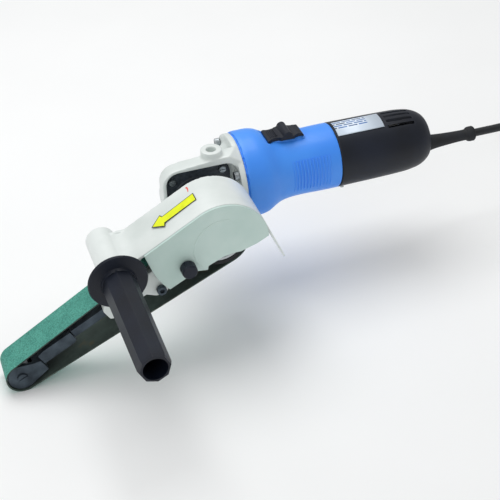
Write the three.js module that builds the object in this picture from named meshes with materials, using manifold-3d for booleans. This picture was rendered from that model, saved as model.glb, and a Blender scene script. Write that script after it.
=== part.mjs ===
// Handheld belt sander: motor unit, swivelling belt arm, side handle and mains lead.
// Millimetres, +Z up.  +X runs along the motor to its tail, +Y along the spindle from the
// belt to the motor.  The tool is drawn about the drive wheel's centre and moved at the end
// so that the floor is z = 0.
import * as THREE from 'three';
import { mergeVertices } from 'three/addons/utils/BufferGeometryUtils.js';
import Module from 'manifold-3d';

const wasm = await Module();
wasm.setup();

// ---- driving dimensions -------------------------------------------------------------
const GAP = 0.3;                 // between pieces that touch
const RUN = 0.05;                // radial, a shaft in its own bearing

const BELT_WIDTH = 30;
const BELT_THICK = 1.2;
const DRIVE_BELT_R = 26.1;       // outside of the belt on the drive wheel
const NOSE_BELT_R = 14.25;       // outside of the belt on the nose pulley
const WHEEL_CENTRES = 206.2;
const ARM_TILT = 27.8 * Math.PI / 180;

const MOTOR_Y = 78;              // motor axis, beyond the belt's middle plane
const FAN_CASE_R = 39.8;
const BARREL_R = 30.2;
const HOUSING_X0 = 44;
const HOUSING_X1 = 135.7;
const HOUSING_WALL = 2.8;
const BARREL_INSIDE_R = BARREL_R - 3.4;
const TAIL_R = 29.2;
const TAIL_X1 = 231;

const COVER_R = 40.3;            // belt cover, outside
const COVER_SKIN = 2;
const COVER_NEAR_Y = -BELT_WIDTH / 2 - 7.3;
const COVER_FAR_Y = BELT_WIDTH / 2 + 9.8;
const BACK_THICK = 2.8;
const DOOR_THICK = 2;

const HANDLE_A = 85.9;           // side handle axis, along the arm
const HANDLE_W = 38;             // and across it
const FLANGE_R = 25.6;
const GRIP_TIP_Y = -148;
const GRIP_TIP_R = 13.4;
const GRIP_ROOT_R = 14.6;
const BOSS_R = 13;

const SPINDLE_R = 6;
const SHAFT_R = 4.5;
const GEAR_TEETH = 32;
const PINION_TEETH = 8;
const GEAR_MODULE = 1.6;
const FACE_WIDTH = 7;

const CORD_R = 3.75;
const CORD_Y = 76.9;
const CORD_Z = -8.8;
const COIL_R = 42;               // middle of the turns
const COIL_HALF_W = 15.2;        // half the width of four turns side by side
const COIL_HALF_H = 7.7;         // half the height of two layers
const PLUG_R = 10.5;
const PLUG_LENGTH = 58;

// ---- materials ----------------------------------------------------------------------
const paint = (color, roughness, metalness = 0) =>
  new THREE.MeshStandardMaterial({ color, roughness, metalness });
const WHITE = paint(0xe9eeec, 0.45);
const DOOR_GREY = paint(0xc5d2ce, 0.5);
const BLUE = paint(0x3f8ef5, 0.4);
const BLACK = paint(0x232b3a, 0.5);
const DARK = paint(0x2f363d, 0.6);
const RUBBER = paint(0x1d2024, 0.9);
const STEEL = paint(0x9aa1a6, 0.35, 1);
const GUNMETAL = paint(0x5d6870, 0.4, 1);
const COPPER = paint(0xb0642e, 0.4, 1);
const BRASS = paint(0xc9a24a, 0.35, 1);
const CARBON = paint(0x33363a, 0.8);
const ALLOY = paint(0xb9bfc2, 0.4, 1);
const GRIT = paint(0x4fa593, 0.95);
const YELLOW = paint(0xeeff1e, 0.5);
const LABEL = paint(0xdfeaf4, 0.4);

// ---- solid helpers ------------------------------------------------------------------
function toBody(geometry) {
  const loose = geometry.index ? geometry.toNonIndexed() : geometry;
  const bare = new THREE.BufferGeometry();
  bare.setAttribute('position', loose.getAttribute('position'));
  const merged = mergeVertices(bare, 1e-4);
  const at = merged.getAttribute('position');
  const faces = [];
  let volume = 0;
  const corner = [new THREE.Vector3(), new THREE.Vector3(), new THREE.Vector3()];
  for (let i = 0; i < merged.index.count; i += 3) {
    const face = [0, 1, 2].map((k) => merged.index.getX(i + k));
    if (face[0] === face[1] || face[1] === face[2] || face[2] === face[0]) continue;
    face.forEach((v, k) => corner[k].fromBufferAttribute(at, v));
    volume += corner[0].dot(corner[1].clone().cross(corner[2]));
    faces.push(face);
  }
  const order = volume < 0 ? [0, 2, 1] : [0, 1, 2];
  const triVerts = new Uint32Array(faces.flatMap((face) => order.map((k) => face[k])));
  const vertProperties = new Float32Array(at.array);
  return new wasm.Manifold(new wasm.Mesh({ numProp: 3, vertProperties, triVerts }));
}

function fromBody(body) {
  const out = body.getMesh();
  const geometry = new THREE.BufferGeometry();
  const positions = new THREE.BufferAttribute(new Float32Array(out.vertProperties), 3);
  geometry.setAttribute('position', positions);
  geometry.setIndex(new THREE.BufferAttribute(new Uint32Array(out.triVerts), 1));
  return geometry;
}

const join = (...parts) => fromBody(parts.map(toBody).reduce((a, b) => a.add(b)));
const cut = (whole, ...tools) =>
  fromBody(tools.map(toBody).reduce((a, b) => a.subtract(b), toBody(whole)));
const common = (a, b) => fromBody(toBody(a).intersect(toBody(b)));

const lathe = (profile, segments) =>
  new THREE.LatheGeometry(profile.map(([r, s]) => new THREE.Vector2(r, s)), segments);
const turnedY = (profile, x, z, segments = 32) => lathe(profile, segments).translate(x, 0, z);
const turnedX = (profile, y, z, segments = 32) =>
  lathe(profile, segments).rotateZ(-Math.PI / 2).translate(0, y, z);
const turnedZ = (profile, x, y, segments = 32) =>
  lathe(profile, segments).rotateX(Math.PI / 2).translate(x, y, 0);

const bar = (r, s0, s1) => [[0, s0], [r, s0], [r, s1], [0, s1]];
const pipe = (rIn, rOut, s0, s1) => [[rIn, s0], [rOut, s0], [rOut, s1], [rIn, s1], [rIn, s0]];

function block(x0, x1, y0, y1, z0, z1) {
  return new THREE.BoxGeometry(x1 - x0, y1 - y0, z1 - z0)
    .translate((x0 + x1) / 2, (y0 + y1) / 2, (z0 + z1) / 2);
}

// An outline in X and Z, given thickness along Y.
function plate(shape, y0, y1, curveSegments = 12) {
  const options = { depth: y1 - y0, bevelEnabled: false, curveSegments };
  return new THREE.ExtrudeGeometry(shape, options).rotateX(Math.PI / 2).translate(0, y1, 0);
}

const polygon = (points) => new THREE.Shape(points.map(([u, v]) => new THREE.Vector2(u, v)));

// Points on the arm: a runs from the drive wheel to the nose, w across the arm.
const armPoly = (points) => polygon(points.map(([a, w]) => [-a, w]));

function roundRect(x0, x1, z0, z1, r) {
  const shape = new THREE.Shape();
  shape.moveTo(x0 + r, z0);
  shape.lineTo(x1 - r, z0);
  shape.absarc(x1 - r, z0 + r, r, -Math.PI / 2, 0, false);
  shape.lineTo(x1, z1 - r);
  shape.absarc(x1 - r, z1 - r, r, 0, Math.PI / 2, false);
  shape.lineTo(x0 + r, z1);
  shape.absarc(x0 + r, z1 - r, r, Math.PI / 2, Math.PI, false);
  shape.lineTo(x0, z0 + r);
  shape.absarc(x0 + r, z0 + r, r, Math.PI, 1.5 * Math.PI, false);
  return shape;
}

const sander = new THREE.Group();
sander.name = 'belt_sander';

function add(name, geometry, material) {
  const body = toBody(geometry);
  const mesh = new THREE.Mesh(fromBody(body), material);
  mesh.geometry.computeVertexNormals();
  mesh.name = name;
  sander.add(mesh);
}

// A piece drawn with the arm level, then leaned to its working angle.
const addOnArm = (name, geometry, material) => add(name, geometry.rotateY(-ARM_TILT), material);

// ---- sanding belt and its wheels ----------------------------------------------------
function loopShape(rDrive, rNose) {
  const lean = Math.asin((rDrive - rNose) / WHEEL_CENTRES);
  const shape = new THREE.Shape();
  const side = Math.PI / 2 + lean;
  shape.absarc(0, 0, rDrive, -side, side, false);
  shape.absarc(-WHEEL_CENTRES, 0, rNose, side, 2 * Math.PI - side, false);
  return shape;
}

function sandingBelt() {
  const half = BELT_WIDTH / 2;
  const outer = plate(loopShape(DRIVE_BELT_R, NOSE_BELT_R), -half, half, 28);
  const inner = loopShape(DRIVE_BELT_R - BELT_THICK, NOSE_BELT_R - BELT_THICK);
  addOnArm('sanding_belt', cut(outer, plate(inner, -half - 1, half + 1, 28)), GRIT);
}

const TYRE_R = DRIVE_BELT_R - BELT_THICK - GAP;
const HUB_R = 20.5;
const WHEEL_HALF = BELT_WIDTH / 2;
const WHEEL_BORE_R = 5;

function driveWheel() {
  const hub = pipe(WHEEL_BORE_R + GAP, HUB_R, -WHEEL_HALF, WHEEL_HALF);
  const pocket = pipe(9.5, HUB_R - 2.5, -WHEEL_HALF - 1, -WHEEL_HALF + 9);
  add('drive_hub', cut(turnedY(hub, 0, 0), turnedY(pocket, 0, 0)), ALLOY);
  add('drive_tyre', turnedY(pipe(HUB_R + GAP, TYRE_R, -WHEEL_HALF, WHEEL_HALF), 0, 0), RUBBER);
  const nutY = -WHEEL_HALF - GAP;
  const washer = turnedY(bar(8.8, nutY - 1.4, nutY), 0, 0, 32);
  const hexagon = turnedY(bar(8, nutY - 5, nutY - 1), 0, 0, 6);
  const hole = turnedY(bar(WHEEL_BORE_R + GAP, nutY - 6, nutY + 1), 0, 0, 24);
  add('wheel_nut', cut(join(washer, hexagon), hole), STEEL);
}

const COLLAR_R = 20;             // bearing neck the arm clamps on
const NECK_Y0 = COVER_FAR_Y + 0.6;
const PLATE_Y0 = 57;
const PLATE_Y1 = 61;
const GEAR_BACK_Y = 66;
const BEARING_R = 14;
const FRONT_BEARING_Y0 = 30;
const FRONT_BEARING_Y1 = 38;
const CASE_FAR_Y = 101;
const END_BEARING_Y0 = 90;
const END_BEARING_Y1 = 96;
const END_BEARING_R = 9;

function spindle() {
  const shoulderY = WHEEL_HALF + GAP;
  const profile = [
    [0, -WHEEL_HALF - 5.8], [WHEEL_BORE_R, -WHEEL_HALF - 5.8], [WHEEL_BORE_R, shoulderY],
    [SPINDLE_R + 1.5, shoulderY],
    [SPINDLE_R + 1.5, FRONT_BEARING_Y0 - GAP], [SPINDLE_R, FRONT_BEARING_Y0 - GAP],
    [SPINDLE_R, END_BEARING_Y0 - 4], [SHAFT_R, END_BEARING_Y0 - 4],
    [SHAFT_R, END_BEARING_Y1 + 1], [0, END_BEARING_Y1 + 1],
  ];
  add('spindle', turnedY(profile, 0, 0), STEEL);
}

function bearing(name, turned, rShaft, rOuter, s0, s1, u, v) {
  const middle = (rShaft + rOuter) / 2;
  const ring = turned(pipe(rShaft + RUN, rOuter, s0, s1), u, v, 28);
  const groove = turned(pipe(middle - 1.4, middle + 1.4, s0 - 1, s0 + 0.8), u, v, 20);
  add(name, cut(ring, groove), STEEL);
}

// ---- bevel gears: straight teeth narrowing towards the crossing of the axes ----------
const PITCH_GEAR = GEAR_TEETH * GEAR_MODULE / 2;
const PITCH_PINION = PINION_TEETH * GEAR_MODULE / 2;

function bevelTooth(radius, along, halfAngle, tipHalf, height, depth, shrink) {
  const corners = [];
  for (const scale of [1, shrink]) {
    for (const [lift, half] of [[-depth, halfAngle * 1.25], [height, tipHalf]]) {
      const cone = Math.hypot(radius, along);
      const r = (radius + lift * along / cone) * scale;
      const s = (along - lift * radius / cone) * scale;
      for (const sign of [-1, 1]) {
        corners.push([r * Math.cos(sign * half), s, r * Math.sin(sign * half)]);
      }
    }
  }
  const quads = [[0, 1, 3, 2], [4, 6, 7, 5], [0, 4, 5, 1], [2, 3, 7, 6], [0, 2, 6, 4], [1, 5, 7, 3]];
  const triangles = quads.flatMap(([p, q, r, s]) => [p, q, r, p, r, s]);
  const geometry = new THREE.BufferGeometry();
  const flat = new Float32Array(triangles.flatMap((k) => corners[k]));
  geometry.setAttribute('position', new THREE.BufferAttribute(flat, 3));
  return geometry;
}

// A bevel wheel with its apex at the origin and its teeth at s > 0 along Y.
function bevelWheel(radius, along, teeth, turn, backS, boreR, hubR, hubS) {
  const cone = Math.hypot(radius, along);
  const shrink = 1 - FACE_WIDTH / cone;
  const depth = 0.95 * GEAR_MODULE;
  const height = 0.6 * GEAR_MODULE;
  const rootR = radius - depth * along / cone;
  const rootS = along + depth * radius / cone;
  const profile = [
    [boreR, rootS * shrink], [rootR * shrink, rootS * shrink], [rootR, rootS],
    [rootR, backS], [hubR, backS], [hubR, hubS], [boreR, hubS], [boreR, rootS * shrink],
  ];
  const halfAngle = Math.PI / teeth * 0.42;
  let wheel = toBody(turnedY(profile, 0, 0, Math.max(32, teeth)));
  for (let i = 0; i < teeth; i += 1) {
    const tooth = bevelTooth(radius, along, halfAngle, halfAngle * 0.62, height, depth + 0.3, shrink);
    wheel = wheel.add(toBody(tooth.rotateY(turn + i * 2 * Math.PI / teeth)));
  }
  return fromBody(wheel);
}

function bevelGears() {
  const gearBack = MOTOR_Y - GEAR_BACK_Y;
  const gear = bevelWheel(PITCH_GEAR, PITCH_PINION, GEAR_TEETH, Math.PI / GEAR_TEETH,
    gearBack - 2, SPINDLE_R + GAP, SPINDLE_R + 5, gearBack + 3);
  add('bevel_gear', gear.rotateX(Math.PI).translate(0, MOTOR_Y, 0), GUNMETAL);
  const hubEnd = PITCH_GEAR + 7;
  const pinion = bevelWheel(PITCH_PINION, PITCH_GEAR, PINION_TEETH, 0,
    PITCH_GEAR + 3, PINION_BORE_R + GAP, PITCH_PINION - 1, hubEnd);
  add('bevel_pinion', pinion.rotateZ(-Math.PI / 2).translate(0, MOTOR_Y, 0), STEEL);
}

// ---- gear case ----------------------------------------------------------------------
const CASE_X0 = -30.5;
const CASE_TOP = 35.5;
const CASE_Y0 = 52;            // front face, round the window
const CASE_BACK_Y = 66;          // far side of the box, where the dome over the gear begins
const CASE_WALL = 3.5;
const GEAR_ROOM_R = 27.5;
const CASE_FLANGE_R = 38.9;
const FLANGE_X0 = HOUSING_X0 - 6;
const PINION_ROOM_R = 13;
const BOSS_X = 17.5;             // threaded boss on top, for the handle
const BOSS_Y = 62;
const BOSS_TOP = 42.6;
const MOTOR_BEARING_X0 = 35;
const MOTOR_BEARING_X1 = 43;
const PINION_BORE_R = 3;

function gearCase() {
  const front = new THREE.Shape();
  const corner = 15;
  front.moveTo(HOUSING_X0 - 2, -CASE_TOP);
  front.lineTo(HOUSING_X0 - 2, CASE_TOP + 3);
  front.lineTo(CASE_X0 + corner + 8, CASE_TOP - 1);
  front.absarc(CASE_X0 + corner, CASE_TOP - corner - 2, corner, Math.PI / 2, Math.PI, false);
  front.absarc(CASE_X0 + corner, -CASE_TOP + corner, corner, Math.PI, 1.5 * Math.PI, false);
  const slab = plate(front, CASE_Y0, CASE_BACK_Y, 10);
  const domeR = GEAR_ROOM_R + CASE_WALL - 0.5;
  const dome = turnedY([[0, CASE_Y0 + 2], [domeR, CASE_Y0 + 2], [domeR, CASE_BACK_Y], [domeR - 1, 74],
    [END_BEARING_R + 4, 95], [END_BEARING_R + 3.6, CASE_FAR_Y], [0, CASE_FAR_Y]], 0, 0, 56);
  const snoutR = PINION_ROOM_R + CASE_WALL;
  const snout = turnedX([[0, 0], [snoutR, 0], [snoutR, 18], [31, FLANGE_X0], [0, FLANGE_X0]],
    MOTOR_Y, 0, 48);
  const envelope = turnedX([[0, CASE_X0 - 5], [52, CASE_X0 - 5], [52, 10], [45, 32],
    [CASE_FLANGE_R + 0.8, HOUSING_X0 - 3], [CASE_FLANGE_R, HOUSING_X0 - GAP], [0, HOUSING_X0 - GAP]],
  MOTOR_Y, 0, 56);
  const shell = common(join(slab, dome, snout), envelope);
  const flange = turnedX(bar(CASE_FLANGE_R, FLANGE_X0, HOUSING_X0 - GAP), MOTOR_Y, 0, 56);
  const boss = turnedZ(bar(9.5, 20, BOSS_TOP), BOSS_X, BOSS_Y, 28);
  const recess = plate(roundRect(CASE_X0 + CASE_WALL, FLANGE_X0, -CASE_TOP + 4.5, CASE_TOP - 5, 11),
    CASE_Y0 - 1, PLATE_Y1 + GAP, 8);
  const cavity = turnedY([[0, PLATE_Y1 - 1], [GEAR_ROOM_R, PLATE_Y1 - 1], [GEAR_ROOM_R, 73.5],
    [END_BEARING_R + 0.5, 88], [0, 88]], 0, 0);
  const nose = turnedX(bar(PINION_ROOM_R, 5, MOTOR_BEARING_X0 - 2), MOTOR_Y, 0, 32);
  const bearingSeat = turnedX(
    [[0, 30], [7, 30], [7, MOTOR_BEARING_X0 - GAP], [BEARING_R + GAP, MOTOR_BEARING_X0 - GAP],
      [BEARING_R + GAP, HOUSING_X0 + 1], [0, HOUSING_X0 + 1]], MOTOR_Y, 0, 32);
  const endSeat = turnedY(bar(END_BEARING_R + GAP, 87, END_BEARING_Y1 + 1.5), 0, 0, 32);
  const topHole = turnedZ(bar(4.4, 33, BOSS_TOP + 1), BOSS_X, BOSS_Y, 20);
  let casting = cut(join(shell, flange, boss), recess, cavity, nose, bearingSeat, endSeat, topHole);
  for (const [y, z] of CASE_SCREWS) {
    casting = cut(casting, turnedX(bar(2.3 + GAP, HOUSING_X0 - 12, HOUSING_X0 + 1), y, z, 16),
      turnedX(bar(4 + GAP, 24, SCREW_HEAD_X), y, z, 16));
  }
  for (const [x, z] of PLATE_SCREWS) {
    casting = cut(casting, turnedY(bar(1.9 + GAP, PLATE_Y1 - 1, PLATE_Y1 + 4), x, z, 16));
  }
  add('gear_case', casting, WHITE);
}

const CASE_SCREWS = [[MOTOR_Y - 29, 18], [MOTOR_Y - 29, -18], [MOTOR_Y + 27, 21], [MOTOR_Y + 27, -21]];
const SCREW_HEAD_X = FLANGE_X0 - GAP;   // under the case screws' heads
const PLATE_SCREWS = [[25, 24], [-21, 20.5], [2, -26]];

function bearingPlate() {
  const outline = roundRect(CASE_X0 + CASE_WALL + GAP, HOUSING_X0 - 11.5,
    -CASE_TOP + 4.5 + GAP, CASE_TOP - 5 - GAP, 10.7);
  const disc = plate(outline, PLATE_Y0, PLATE_Y1, 8);
  const neck = turnedY(bar(COLLAR_R, NECK_Y0, PLATE_Y0 + 1), 0, 0);
  const bore = turnedY([[0, NECK_Y0 - 1], [SPINDLE_R + 3, NECK_Y0 - 1],
    [SPINDLE_R + 3, FRONT_BEARING_Y0 - GAP], [BEARING_R + GAP, FRONT_BEARING_Y0 - GAP],
    [BEARING_R + GAP, PLATE_Y1 + 1], [0, PLATE_Y1 + 1]], 0, 0);
  let casting = cut(join(disc, neck), bore);
  for (const [x, z] of PLATE_SCREWS) {
    casting = cut(casting, turnedY(bar(1.9 + GAP, PLATE_Y0 - 1, PLATE_Y1 + 1), x, z, 16));
  }
  add('bearing_plate', casting, DARK);
  PLATE_SCREWS.forEach(([x, z], i) => {
    const head = turnedY([[0, PLATE_Y0 - GAP - 2.4], [3, PLATE_Y0 - GAP - 2.4], [3.4, PLATE_Y0 - GAP],
      [1.9, PLATE_Y0 - GAP], [1.9, PLATE_Y1 + 3.5], [0, PLATE_Y1 + 3.5]], x, z, 16);
    const slot = block(x - 4, x + 4, PLATE_Y0 - 4, PLATE_Y0 - GAP - 1.5, z - 0.4, z + 0.4);
    add(`plate_screw_${i + 1}`, cut(head, slot), STEEL);
  });
}

// ---- motor housing, its switch and what it holds ------------------------------------
const PARTITION_X0 = 126;
const PARTITION_X1 = 132;
const TAIL_BEARING_R = 11;
const SLOT_X0 = 74;
const SLOT_X1 = 108;
const SLOT_HALF = 5;
const CAP_HALF = 11;
const SWITCH_TRAVEL = 8;
const PAD_TOP = BARREL_R + 1.4;

// Radius on the way from the barrel (0) to the fan case (1).
const waist = (share) => BARREL_R + share * (FAN_CASE_R - BARREL_R);

function motorHousing() {
  const outer = [
    [0, HOUSING_X0], [CASE_FLANGE_R, HOUSING_X0], [FAN_CASE_R, HOUSING_X0 + 4], [FAN_CASE_R, 59],
    [waist(0.854), 66], [waist(0.583), 71], [waist(0.25), 77], [waist(0.063), 84],
    [BARREL_R - 0.4, 94], [BARREL_R - 0.6, 105],
    [BARREL_R, 120], [BARREL_R, HOUSING_X1], [0, HOUSING_X1],
  ];
  const inner = [
    [0, HOUSING_X0 - 1], [CASE_FLANGE_R - HOUSING_WALL, HOUSING_X0 - 1],
    [FAN_CASE_R - HOUSING_WALL, 50], [FAN_CASE_R - HOUSING_WALL, 60],
    [BARREL_INSIDE_R, 74], [BARREL_INSIDE_R, PARTITION_X0], [0, PARTITION_X0],
  ];
  const rear = bar(BARREL_INSIDE_R, PARTITION_X1, HOUSING_X1 + 1);
  const pad = block(SLOT_X0 - 4, SLOT_X1 + 13, MOTOR_Y - 10, MOTOR_Y + 10, BARREL_R - 10, PAD_TOP);
  let shell = join(turnedX(outer, MOTOR_Y, 0, 40), pad);
  const above = block(SLOT_X0 - 5, SLOT_X1 + 13, MOTOR_Y - CAP_HALF - 1, MOTOR_Y + CAP_HALF + 1,
    PAD_TOP, PAD_TOP + 20);
  const switchSlot = block(SLOT_X0, SLOT_X1 - 2, MOTOR_Y - SLOT_HALF, MOTOR_Y + SLOT_HALF,
    PAD_TOP - 3, PAD_TOP + 13);
  const linkWay = block(84, PARTITION_X1 + 1, MOTOR_Y - 2.2, MOTOR_Y + 2.2,
    PAD_TOP - 5, PAD_TOP - 0.6);
  const linkDrop = block(PARTITION_X0 - 1, HOUSING_X1 + 1, MOTOR_Y - 2.2, MOTOR_Y + 2.2,
    PAD_TOP - 8.8, PAD_TOP - 3.6);
  shell = cut(shell, turnedX(inner, MOTOR_Y, 0, 32), turnedX(rear, MOTOR_Y, 0, 32), above, linkDrop,
    turnedX(bar(TAIL_BEARING_R + GAP, PARTITION_X0 - 1, PARTITION_X1 + 1), MOTOR_Y, 0, 32),
    switchSlot, linkWay);
  for (let i = 0; i < 6; i += 1) {
    const turn = (i + 0.5) * Math.PI / 3;
    const y = MOTOR_Y + 19 * Math.cos(turn);
    const z = 19 * Math.sin(turn);
    shell = cut(shell, turnedX(bar(4, PARTITION_X0 - 1, PARTITION_X1 + 1), y, z, 14));
  }
  for (const [y, z] of CASE_SCREWS) {
    const post = turnedX(bar(4.5, HOUSING_X0, HOUSING_X0 + 14), y, z, 18);
    const inside = common(post, turnedX(bar(38.5, HOUSING_X0, HOUSING_X0 + 14), MOTOR_Y, 0, 56));
    shell = cut(join(shell, inside), turnedX(bar(2.3 + GAP, HOUSING_X0 - 1, HOUSING_X0 + 11), y, z, 16));
  }
  add('motor_housing', shell, BLUE);
  CASE_SCREWS.forEach(([y, z], i) => {
    const head = turnedX([[0, HOUSING_X0 - 10.5], [4, HOUSING_X0 - 10.5], [4, SCREW_HEAD_X - GAP],
      [2.3, SCREW_HEAD_X - GAP], [2.3, HOUSING_X0 + 9], [0, HOUSING_X0 + 9]], y, z, 16);
    const socket = turnedX(bar(1.7, HOUSING_X0 - 12, HOUSING_X0 - 8.5), y, z, 6);
    add(`case_screw_${i + 1}`, cut(head, socket), STEEL);
  });
}

function switchSlider() {
  const foot = block(SLOT_X0 + 0.5, SLOT_X1 - 3 - SWITCH_TRAVEL, MOTOR_Y - SLOT_HALF + GAP,
    MOTOR_Y + SLOT_HALF - GAP, PAD_TOP - 2.7, PAD_TOP + 2);
  const cap = polygon([[71, PAD_TOP + GAP], [110, PAD_TOP + GAP], [109, PAD_TOP + 5.2],
    [99, PAD_TOP + 6.8], [82, PAD_TOP + 6.8], [71, PAD_TOP + 5]]);
  const thumb = turnedY(bar(6, MOTOR_Y - 9.5, MOTOR_Y + 9.5), 91.5, PAD_TOP + 8, 20);
  const hollow = turnedY(bar(3.4, MOTOR_Y - 12, MOTOR_Y + 12), 100.2, PAD_TOP + 9.4, 16);
  const cover = plate(cap, MOTOR_Y - CAP_HALF, MOTOR_Y + CAP_HALF);
  add('switch_slider', cut(join(foot, cover, thumb), hollow), BLACK);
  const [top, drop] = [PAD_TOP - 3.2, PAD_TOP - 6.6];
  const strip = 1.4;
  const link = polygon([[86, top - strip], [121.6, top - strip], [121.6, drop - strip],
    [148, drop - strip], [148, 19.4], [150.7, 19.4], [150.7, drop], [123, drop], [123, top], [86, top]]);
  add('switch_link', plate(link, MOTOR_Y - 1.6, MOTOR_Y + 1.6), STEEL);
}

const STACK_X0 = 76;
const STACK_X1 = 106;
const ROTOR_R = 15;

function fieldWinding() {
  const stator = turnedX(bar(BARREL_INSIDE_R - 0.4, STACK_X0, STACK_X1), MOTOR_Y, 0);
  const bore = turnedX(bar(ROTOR_R + 0.7, STACK_X0 - 1, STACK_X1 + 1), MOTOR_Y, 0);
  const windows = [-1, 1].map((sign) =>
    block(STACK_X0 - 1, STACK_X1 + 1, MOTOR_Y - 16.5, MOTOR_Y + 16.5,
      sign * 17.5 - 2.5, sign * 17.5 + 2.5));
  add('stator_core', cut(stator, bore, ...windows), GUNMETAL);
  [1, -1].forEach((sign, i) => {
    const loop = block(STACK_X0 - 4, STACK_X1 + 4, MOTOR_Y - 16, MOTOR_Y + 16,
      sign * 17.6 - 1.6, sign * 17.6 + 1.6);
    add(`field_coil_${i + 1}`, loop, COPPER);
  });
}

const COMMUTATOR_X0 = 111;
const COMMUTATOR_X1 = 122;
const COMMUTATOR_R = 9.5;

function armature() {
  const x = HOUSING_X0;
  const profile = [
    [0, PITCH_GEAR * 0.74], [PINION_BORE_R, PITCH_GEAR * 0.74],
    [PINION_BORE_R, PITCH_GEAR + 7 + GAP], [SHAFT_R, PITCH_GEAR + 7 + GAP], [SHAFT_R, x + 0.6],
    [5.5, x + 0.6], [5.5, PARTITION_X0 - 1.6], [SHAFT_R, PARTITION_X0 - 1.6],
    [SHAFT_R, PARTITION_X1 - 1], [0, PARTITION_X1 - 1],
  ];
  add('armature_shaft', turnedX(profile, MOTOR_Y, 0, 32), STEEL);
  let core = turnedX(pipe(5.5 + GAP, ROTOR_R, STACK_X0, STACK_X1), MOTOR_Y, 0, 24);
  const slots = [];
  for (let i = 0; i < 12; i += 1) {
    const slot = block(STACK_X0 - 1, STACK_X1 + 1, -0.9, 0.9, ROTOR_R - 4, ROTOR_R + 1);
    slots.push(slot.rotateX(i * Math.PI / 6).translate(0, MOTOR_Y, 0));
  }
  core = cut(core, ...slots);
  add('armature_core', core, GUNMETAL);
  const commutator = pipe(5.5 + GAP, COMMUTATOR_R, COMMUTATOR_X0, COMMUTATOR_X1);
  add('commutator', turnedX(commutator, MOTOR_Y, 0, 32), COPPER);
}

const FAN_R = 28.5;

function coolingFan() {
  const x0 = 49;
  const disc = [[5.5 + GAP, x0], [9, x0], [9, x0 + 4], [FAN_R, x0 + 6], [FAN_R, x0 + 7.5],
    [5.5 + GAP, x0 + 7.5], [5.5 + GAP, x0]];
  let fan = toBody(turnedX(disc, MOTOR_Y, 0, 36));
  for (let i = 0; i < 12; i += 1) {
    const blade = block(x0 + 0.5, x0 + 6.6, -0.7, 0.7, 14, FAN_R - 0.5).rotateX(i * Math.PI / 6);
    fan = fan.add(toBody(blade.translate(0, MOTOR_Y, 0)));
  }
  add('cooling_fan', fromBody(fan), DARK);
}

function brushes() {
  [-1, 1].forEach((sign, i) => {
    const y = (s) => MOTOR_Y + sign * s;
    const [holder0, holder1] = [y(13), y(25.5)].sort((a, b) => a - b);
    const holder = block(112.5, 120.5, holder0, holder1, -4.5, 4.5);
    const way = block(114, 119, holder0 - 1, holder1 + 1, -3, 3);
    add(`brush_holder_${i + 1}`, cut(holder, way), BRASS);
    const [brush0, brush1] = [y(COMMUTATOR_R + GAP), y(22)].sort((a, b) => a - b);
    const bite = turnedX(bar(COMMUTATOR_R + GAP, 110, 124), MOTOR_Y, 0, 32);
    const carbon = block(114 + GAP, 119 - GAP, brush0 - 1, brush1 + 1, -3 + GAP, 3 - GAP);
    add(`carbon_brush_${i + 1}`, cut(carbon, bite), CARBON);
  });
}

// ---- rear cover, label, switch body, cord clamp -------------------------------------
const RELIEF_X0 = TAIL_X1 - 11;
const RELIEF_ROOT_R = 8.5;
const RELIEF_END_X = TAIL_X1 + 50;
const TAIL_WALL = 2.5;

function rearCover() {
  const x0 = HOUSING_X1 + GAP;
  const outer = [
    [0, x0], [BARREL_R, x0], [BARREL_R - 0.2, x0 + 14], [BARREL_R - 0.4, TAIL_X1 - 56],
    [TAIL_R, TAIL_X1 - 31], [TAIL_R - 1, TAIL_X1 - 21], [TAIL_R - 2.8, TAIL_X1 - 13],
    [TAIL_R - 6.2, TAIL_X1 - 7], [TAIL_R - 11.7, TAIL_X1 - 2.5], [10, TAIL_X1], [0, TAIL_X1],
  ];
  const inner = [
    [0, x0 - 1], [BARREL_R - TAIL_WALL, x0 - 1], [BARREL_R - 2.9, TAIL_X1 - 61],
    [TAIL_R - 3, TAIL_X1 - 26], [TAIL_R - 9.2, TAIL_X1 - 11], [0, TAIL_X1 - 7],
  ];
  let shell = cut(turnedX(outer, MOTOR_Y, 0, 40), turnedX(inner, MOTOR_Y, 0, 28),
    turnedX(bar(RELIEF_ROOT_R + GAP, TAIL_X1 - 26, TAIL_X1 + 9), CORD_Y, CORD_Z, 28));
  for (let i = 0; i < VENT_COUNT; i += 1) {
    const vent = block(VENT_X0, VENT_X1, -1.1, 1.1, 18, 40)
      .rotateX(-(VENT_FIRST + i * VENT_PITCH) * Math.PI / 180).translate(0, MOTOR_Y, 0);
    const low = block(VENT_X0, VENT_X1, -1.1, 1.1, 18, 40)
      .rotateX(Math.PI - (VENT_FIRST + i * VENT_PITCH) * Math.PI / 180).translate(0, MOTOR_Y, 0);
    shell = cut(shell, vent, low);
  }
  for (const sign of [-1, 1]) {
    const y = MOTOR_Y + sign * 12;
    shell = cut(shell, turnedZ(bar(1.9 + GAP, -BARREL_R - 10, -BARREL_R + 10), 142, y, 14));
  }
  add('rear_cover', shell, BLACK);
}

const VENT_COUNT = 4;
const VENT_X0 = TAIL_X1 - 44;
const VENT_X1 = TAIL_X1 - 18;
const VENT_PITCH = 13;
const VENT_FIRST = -28;

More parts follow.
